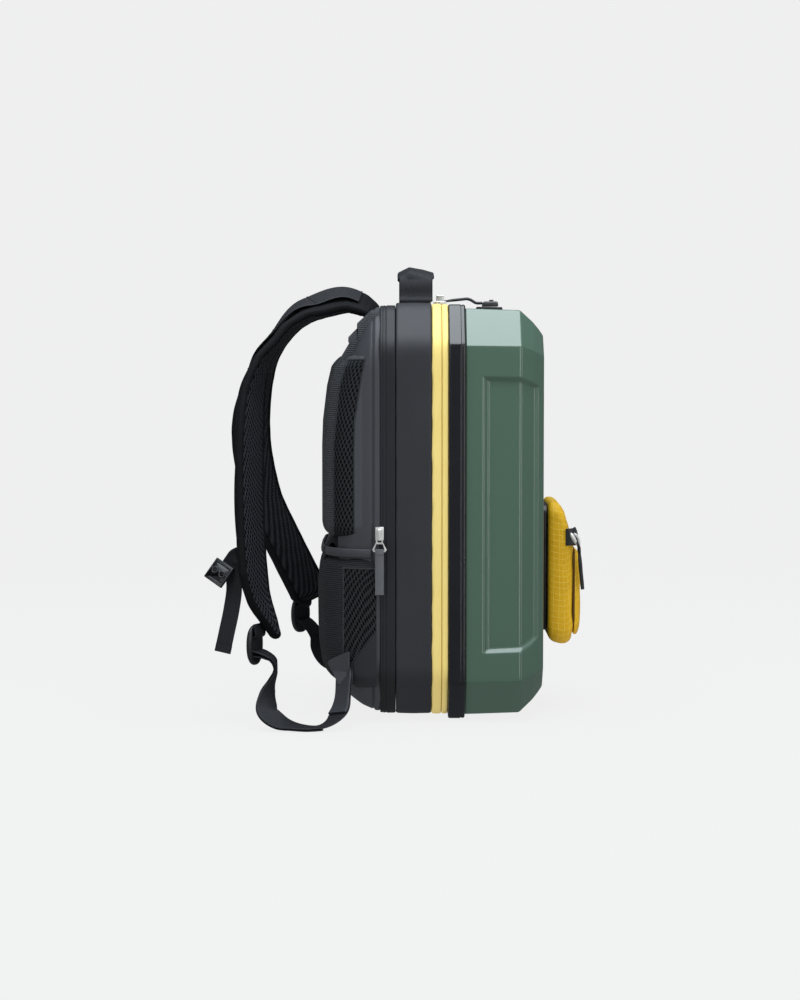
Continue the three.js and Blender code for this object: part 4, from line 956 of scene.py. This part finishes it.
def makeHandle():
    # Webbing legs with a padded rolled grip between them, along a path in x and z.
    look = {"y": 44.5, "tape": 37, "grip": 482, "blend": 5}  # the grip begins at this height
    path = [(-98, 458.8), (-84, 458.9), (-77.5, 460.5), (-75.6, 466), (-74.8, 476), (-72, 483.5),
            (-64, 488.5), (-40, 491.6), (0, 493)]
    line = resample(path + [(-x, z) for x, z in path[-2::-1]], 1.6, 2.4)
    run = unit(np.gradient(line, axis=0))
    normal = np.stack([-run[:, 1], run[:, 0]], -1)
    profile = tapeProfile(look["tape"], 2)
    grip = np.clip((line[:, 1] - look["grip"]) / look["blend"], 0, 1)
    grip = grip * grip * (3 - 2 * grip)
    # The grip is the webbing folded lengthwise, so its section is a low ridge.
    top = np.interp(profile[:, 0], [-19, -18, -8, 6.5, 17, 18.5],
                    [-2.2, -0.6, 2.6, 5.4, -0.2, -1.6])
    under = np.minimum(top - 1, -2.6)
    fold = np.stack([profile[:, 0] * 1.1, np.where(profile[:, 1] > 0, top, under)], -1)
    shape = profile[None] * (1 - grip)[:, None, None] + fold[None] * grip[:, None, None]
    y = look["y"] + shape[..., 0]
    x = line[:, None, 0] + normal[:, None, 0] * shape[..., 1]
    z = line[:, None, 1] + normal[:, None, 1] * shape[..., 1]
    gridPiece("handle_webbing", np.stack([x, y, z], -1), "webbing", ("carry_handle",))


makeHandle()
print("straps, webbing and handle made")


def makeHardware():
    parts = [  # CAD node, eased edge in mm, material
        ("chest_buckle", 0.8, "plastic"), ("lock_base", 0.6, "lock"),
        ("lock_housing", 0.8, "lock"), ("lock_button", 0.5, "lock"),
        ("main_slider", 0.6, "steel"), ("laptop_slider", 0.5, "steel"),
        ("laptop_link", 0.3, "steel"), ("laptop_tab", 0.35, "tab"),
        ("pouch_garage", 0.4, "plastic"),
        ("pouch_backing", 1.5, "rubber"),
        ("corner_patch_left", 0.4, "smooth"),
        ("corner_patch_right", 0.4, "smooth"),
    ]
    swinging = ("laptop_link", "laptop_tab")
    for node, width, material in parts:
        easedNode(node, width, material, "laptop_pull" if node in swinging else "bag")


makeHardware()


def makeMainPull():
    # Thick folded tape, bowed between the slider's post and the lock's mouth.
    line = [(0, y, z, 1, 0, 0) for y, z in (
        (12, 459.8), (8, 460.2), (2, 461), (-8, 462), (-14, 462.5), (-18, 461.4), (-24, 458),
        (-31, 457.8))]
    t = np.linspace(0, 1, 60)
    section = resample([(-4.5, 0), (-4, 1.3), (0, 1.7), (4, 1.3), (4.5, 0), (4, -1.3), (0, -1.7),
                        (-4, -1.3)], 0.7, 0.5, True)
    thick = np.interp(t, [0, 0.3, 1], [0.6, 1, 1])[:, None]
    shape = section[None] * np.stack([1 + 0 * thick, thick], -1)
    tapePiece("main_pull_tape", line, t, shape, "lock", ("main_pull",))


makeMainPull()


def makePouch():
    # Rounded loops along y for the box, the front pocket and a dark brown band between them, which is
    # painted shade in the gap.
    rows = {  # y, half width, low, high, corner radius
        "box": [(-103.6, 57, 86, 231, 14), (-104.8, 60, 82, 234.5, 15), (-110, 61.4, 78, 236, 17),
                (-116, 61.6, 76, 234, 18), (-121, 61, 75, 225, 19), (-126, 60.4, 75.5, 212, 20),
                (-130.6, 58, 79, 201, 20), (-132.2, 50, 90, 191, 18), (-132.6, 20, 118, 165, 8)],
        "painted_gap_shade": [(-131.2, 56.8, 92, 184, 15), (-132.2, 57.4, 91, 185, 16),
                 (-133.6, 56.4, 92, 184, 15), (-133.9, 40, 106, 170, 12)],
        "pocket": [(-132.9, 54.6, 86, 180, 14), (-134.4, 55.4, 84.6, 181.5, 15),
                   (-137, 54.6, 85.5, 180.5, 16), (-139.6, 50, 92, 175, 16),
                   (-140.8, 40, 102, 164, 14), (-141, 12, 125, 140, 5)]}

    def loops(part, step, blur):
        y, half, low, high, radius = resample(rows[part], step, blur).T
        return outline(half, low, high, radius, y, arcSteps=7, topSteps=40)

    gridPiece("pouch_cloth_box", crumple(loops("box", 1.2, 2.2), 1.1), "ripstop",
              ("pouch",))
    # The dark band here is painted shade in the gap between the box and the pocket.
    gridPiece("pouch_pocket_gap_painted_shade", loops("painted_gap_shade", 0.8, 0.8), "painted_gap_shade")
    gridPiece("pouch_pocket_cloth", crumple(loops("pocket", 1.3, 1.8), 0.5), "ripstop",
              ("pouch_pocket",))


def crumple(loops, size):
    # Soft creases: a few crossing waves move each point along y and outwards in x.
    x, z = loops[..., 0], loops[..., 2]
    wave = (np.sin(z / 5.3 + x / 17) + 0.8 * np.sin(z / 9.1 - x / 7 + 2)
            + 0.6 * np.sin(x / 4.3 + z / 23))
    ridge = 1 - 2 * np.abs(np.sin(z / 13 + x / 31 + 0.7 * np.sin(x / 15)))
    moved = loops.copy()
    moved[..., 1] -= size * (0.3 * wave + 0.35 * ridge) * np.clip((-loops[..., 1] - 104) / 6, 0, 1)
    side = np.sign(x) * (np.abs(x) > 30)
    moved[..., 0] += side * size * (0.4 * np.sin(z / 6.1 + 1) + 0.4 * ridge)
    return moved


makePouch()


def makePouchPull():
    # Steel slider on the pouch's zip, two cord strands from it and the moulded end they run into.
    angle = np.linspace(0, 2 * pi, 14, endpoint=False)
    ring = np.stack([np.cos(angle), np.sin(angle)], -1)

    def bar(name, places, sizes, material):
        t = np.linspace(0, 1, len(sizes) * 4)
        size = np.interp(t, np.linspace(0, 1, len(sizes)), sizes)[:, None, None]
        tapePiece(name, [(*p, 1, 0, 0) for p in places], t, ring[None] * size, material)

    for k, offset in enumerate((-1.5, 1.5)):
        strand = [(-62 + offset * 0.4, -134.5, 191), (-62 + offset, -137.5 + offset * 0.4, 186),
                  (-62 + offset, -138 + offset * 0.5, 180), (-62, -139, 174)]
        bar(f"pouch_pull_{k}", strand, [1.1] * 8, "lock")
    bar("pouch_pull_end", [(-62, -138.2, 179), (-62, -140, 158), (-62, -142, 138)],
        [1.4, 2.1, 2.3, 2.2, 2.2, 2.2, 2.2, 2.0], "lock")
    bar("pouch_slider_top", [(-62, -128.5, 201), (-62, -131.5, 195), (-62, -135.5, 188)],
        [1.2, 2.4, 2.8, 2.6, 2.0, 1.2], "steel")
    bar("pouch_slider_bridge", [(-62, -132.5, 201), (-62, -137, 195.5), (-62, -138.4, 187)],
        [0.9, 1.3, 1.3, 1.3, 1.3, 0.9], "steel")


makePouchPull()
print("hardware and pouch made")


def makeStudio():
    look = {"floor": "#eeeeee", "glow": 0.97, "lit": 0.035, "wall": 2.6, "side": 7.0}
    x = np.concatenate([np.linspace(-7, look["wall"] - 1, 4),
                        look["wall"] - 1 + np.sin(np.linspace(0, pi / 2, 12))])
    z = np.concatenate([np.zeros(4), 1 - np.cos(np.linspace(0, pi / 2, 12))])
    x, z = np.append(x, look["wall"]), np.append(z, 6.0)
    y = np.array([-look["side"], look["side"]])
    grid = np.stack(np.broadcast_arrays(x[:, None], y[None], z[:, None]), -1)
    vertices = grid.reshape(-1, 3)
    k = np.arange(len(x) - 1) * 2
    mesh = bpy.data.meshes.new("studio_floor")
    mesh.from_pydata(vertices.tolist(), [], np.stack([k, k + 2, k + 3, k + 1], -1).tolist())
    mesh.polygons.foreach_set("use_smooth", np.ones(len(mesh.polygons), bool))
    floor = addObject("studio_floor", mesh)
    paint = Paint("studio_paper", look["floor"], 0.9, Specular_IOR_Level=0.0)
    paint.put(paint.shader, {
        "Base Color": (look["lit"],) * 3 + (1,), "Emission Color": look["floor"],
        "Emission Strength": look["glow"]})
    mesh.materials.append(paint.material)
    floor.visible_glossy = False
    world = bpy.data.worlds.new("studio_air")
    world.use_nodes = True
    world.node_tree.nodes["Background"].inputs[0].default_value = (0.9, 0.94, 1.0, 1)
    world.node_tree.nodes["Background"].inputs[1].default_value = 0.16
    bpy.context.scene.world = world
    lights = [  # name, place, aim, width, height, watts, colour
        ("overhead", (-0.5, 0.0, 2.3), (0, 0, 0.2), 2.6, 2.6, 104, (0.88, 0.95, 1.0)),
        ("crease_strip", (-2.09, -1.12, 0.5), (0, 0, 0.25), 0.26, 1.7, 9, (1.0, 0.99, 0.97)),
        ("front_strip", (-1.05, -2.1, 0.5), (0, 0, 0.25), 0.16, 1.7, 5, (1.0, 0.99, 0.97)),
        ("side_fill", (-2.8, 1.4, 1.3), (0, 0, 0.25), 1.4, 1.4, 12, (1.0, 0.99, 0.97)),
    ]
    for name, place, aim, width, height, watts, color in lights:
        lamp = bpy.data.lights.new(name, "AREA")
        lamp.shape, lamp.size, lamp.size_y = "RECTANGLE", width, height
        lamp.energy, lamp.color = watts, color
        made = addObject(name, lamp)
        made.location = place
        made.rotation_euler = (Vector(aim) - Vector(place)).to_track_quat("-Z", "Y").to_euler()
    bpy.context.scene.view_settings.view_transform = "Standard"


def makeCamera():
    look = {"place": (-3.0, 0.062, 0.4177), "pitch": 86.5, "lens": 95.04}
    lens = bpy.data.cameras.new("camera")
    lens.lens, lens.sensor_width = look["lens"], 36
    camera = addObject("camera", lens)
    camera.location = look["place"]
    camera.rotation_euler = (radians(look["pitch"]), 0, radians(-90))
    bpy.context.scene.camera = camera


makeStudio()
makeCamera()
print("studio ready")
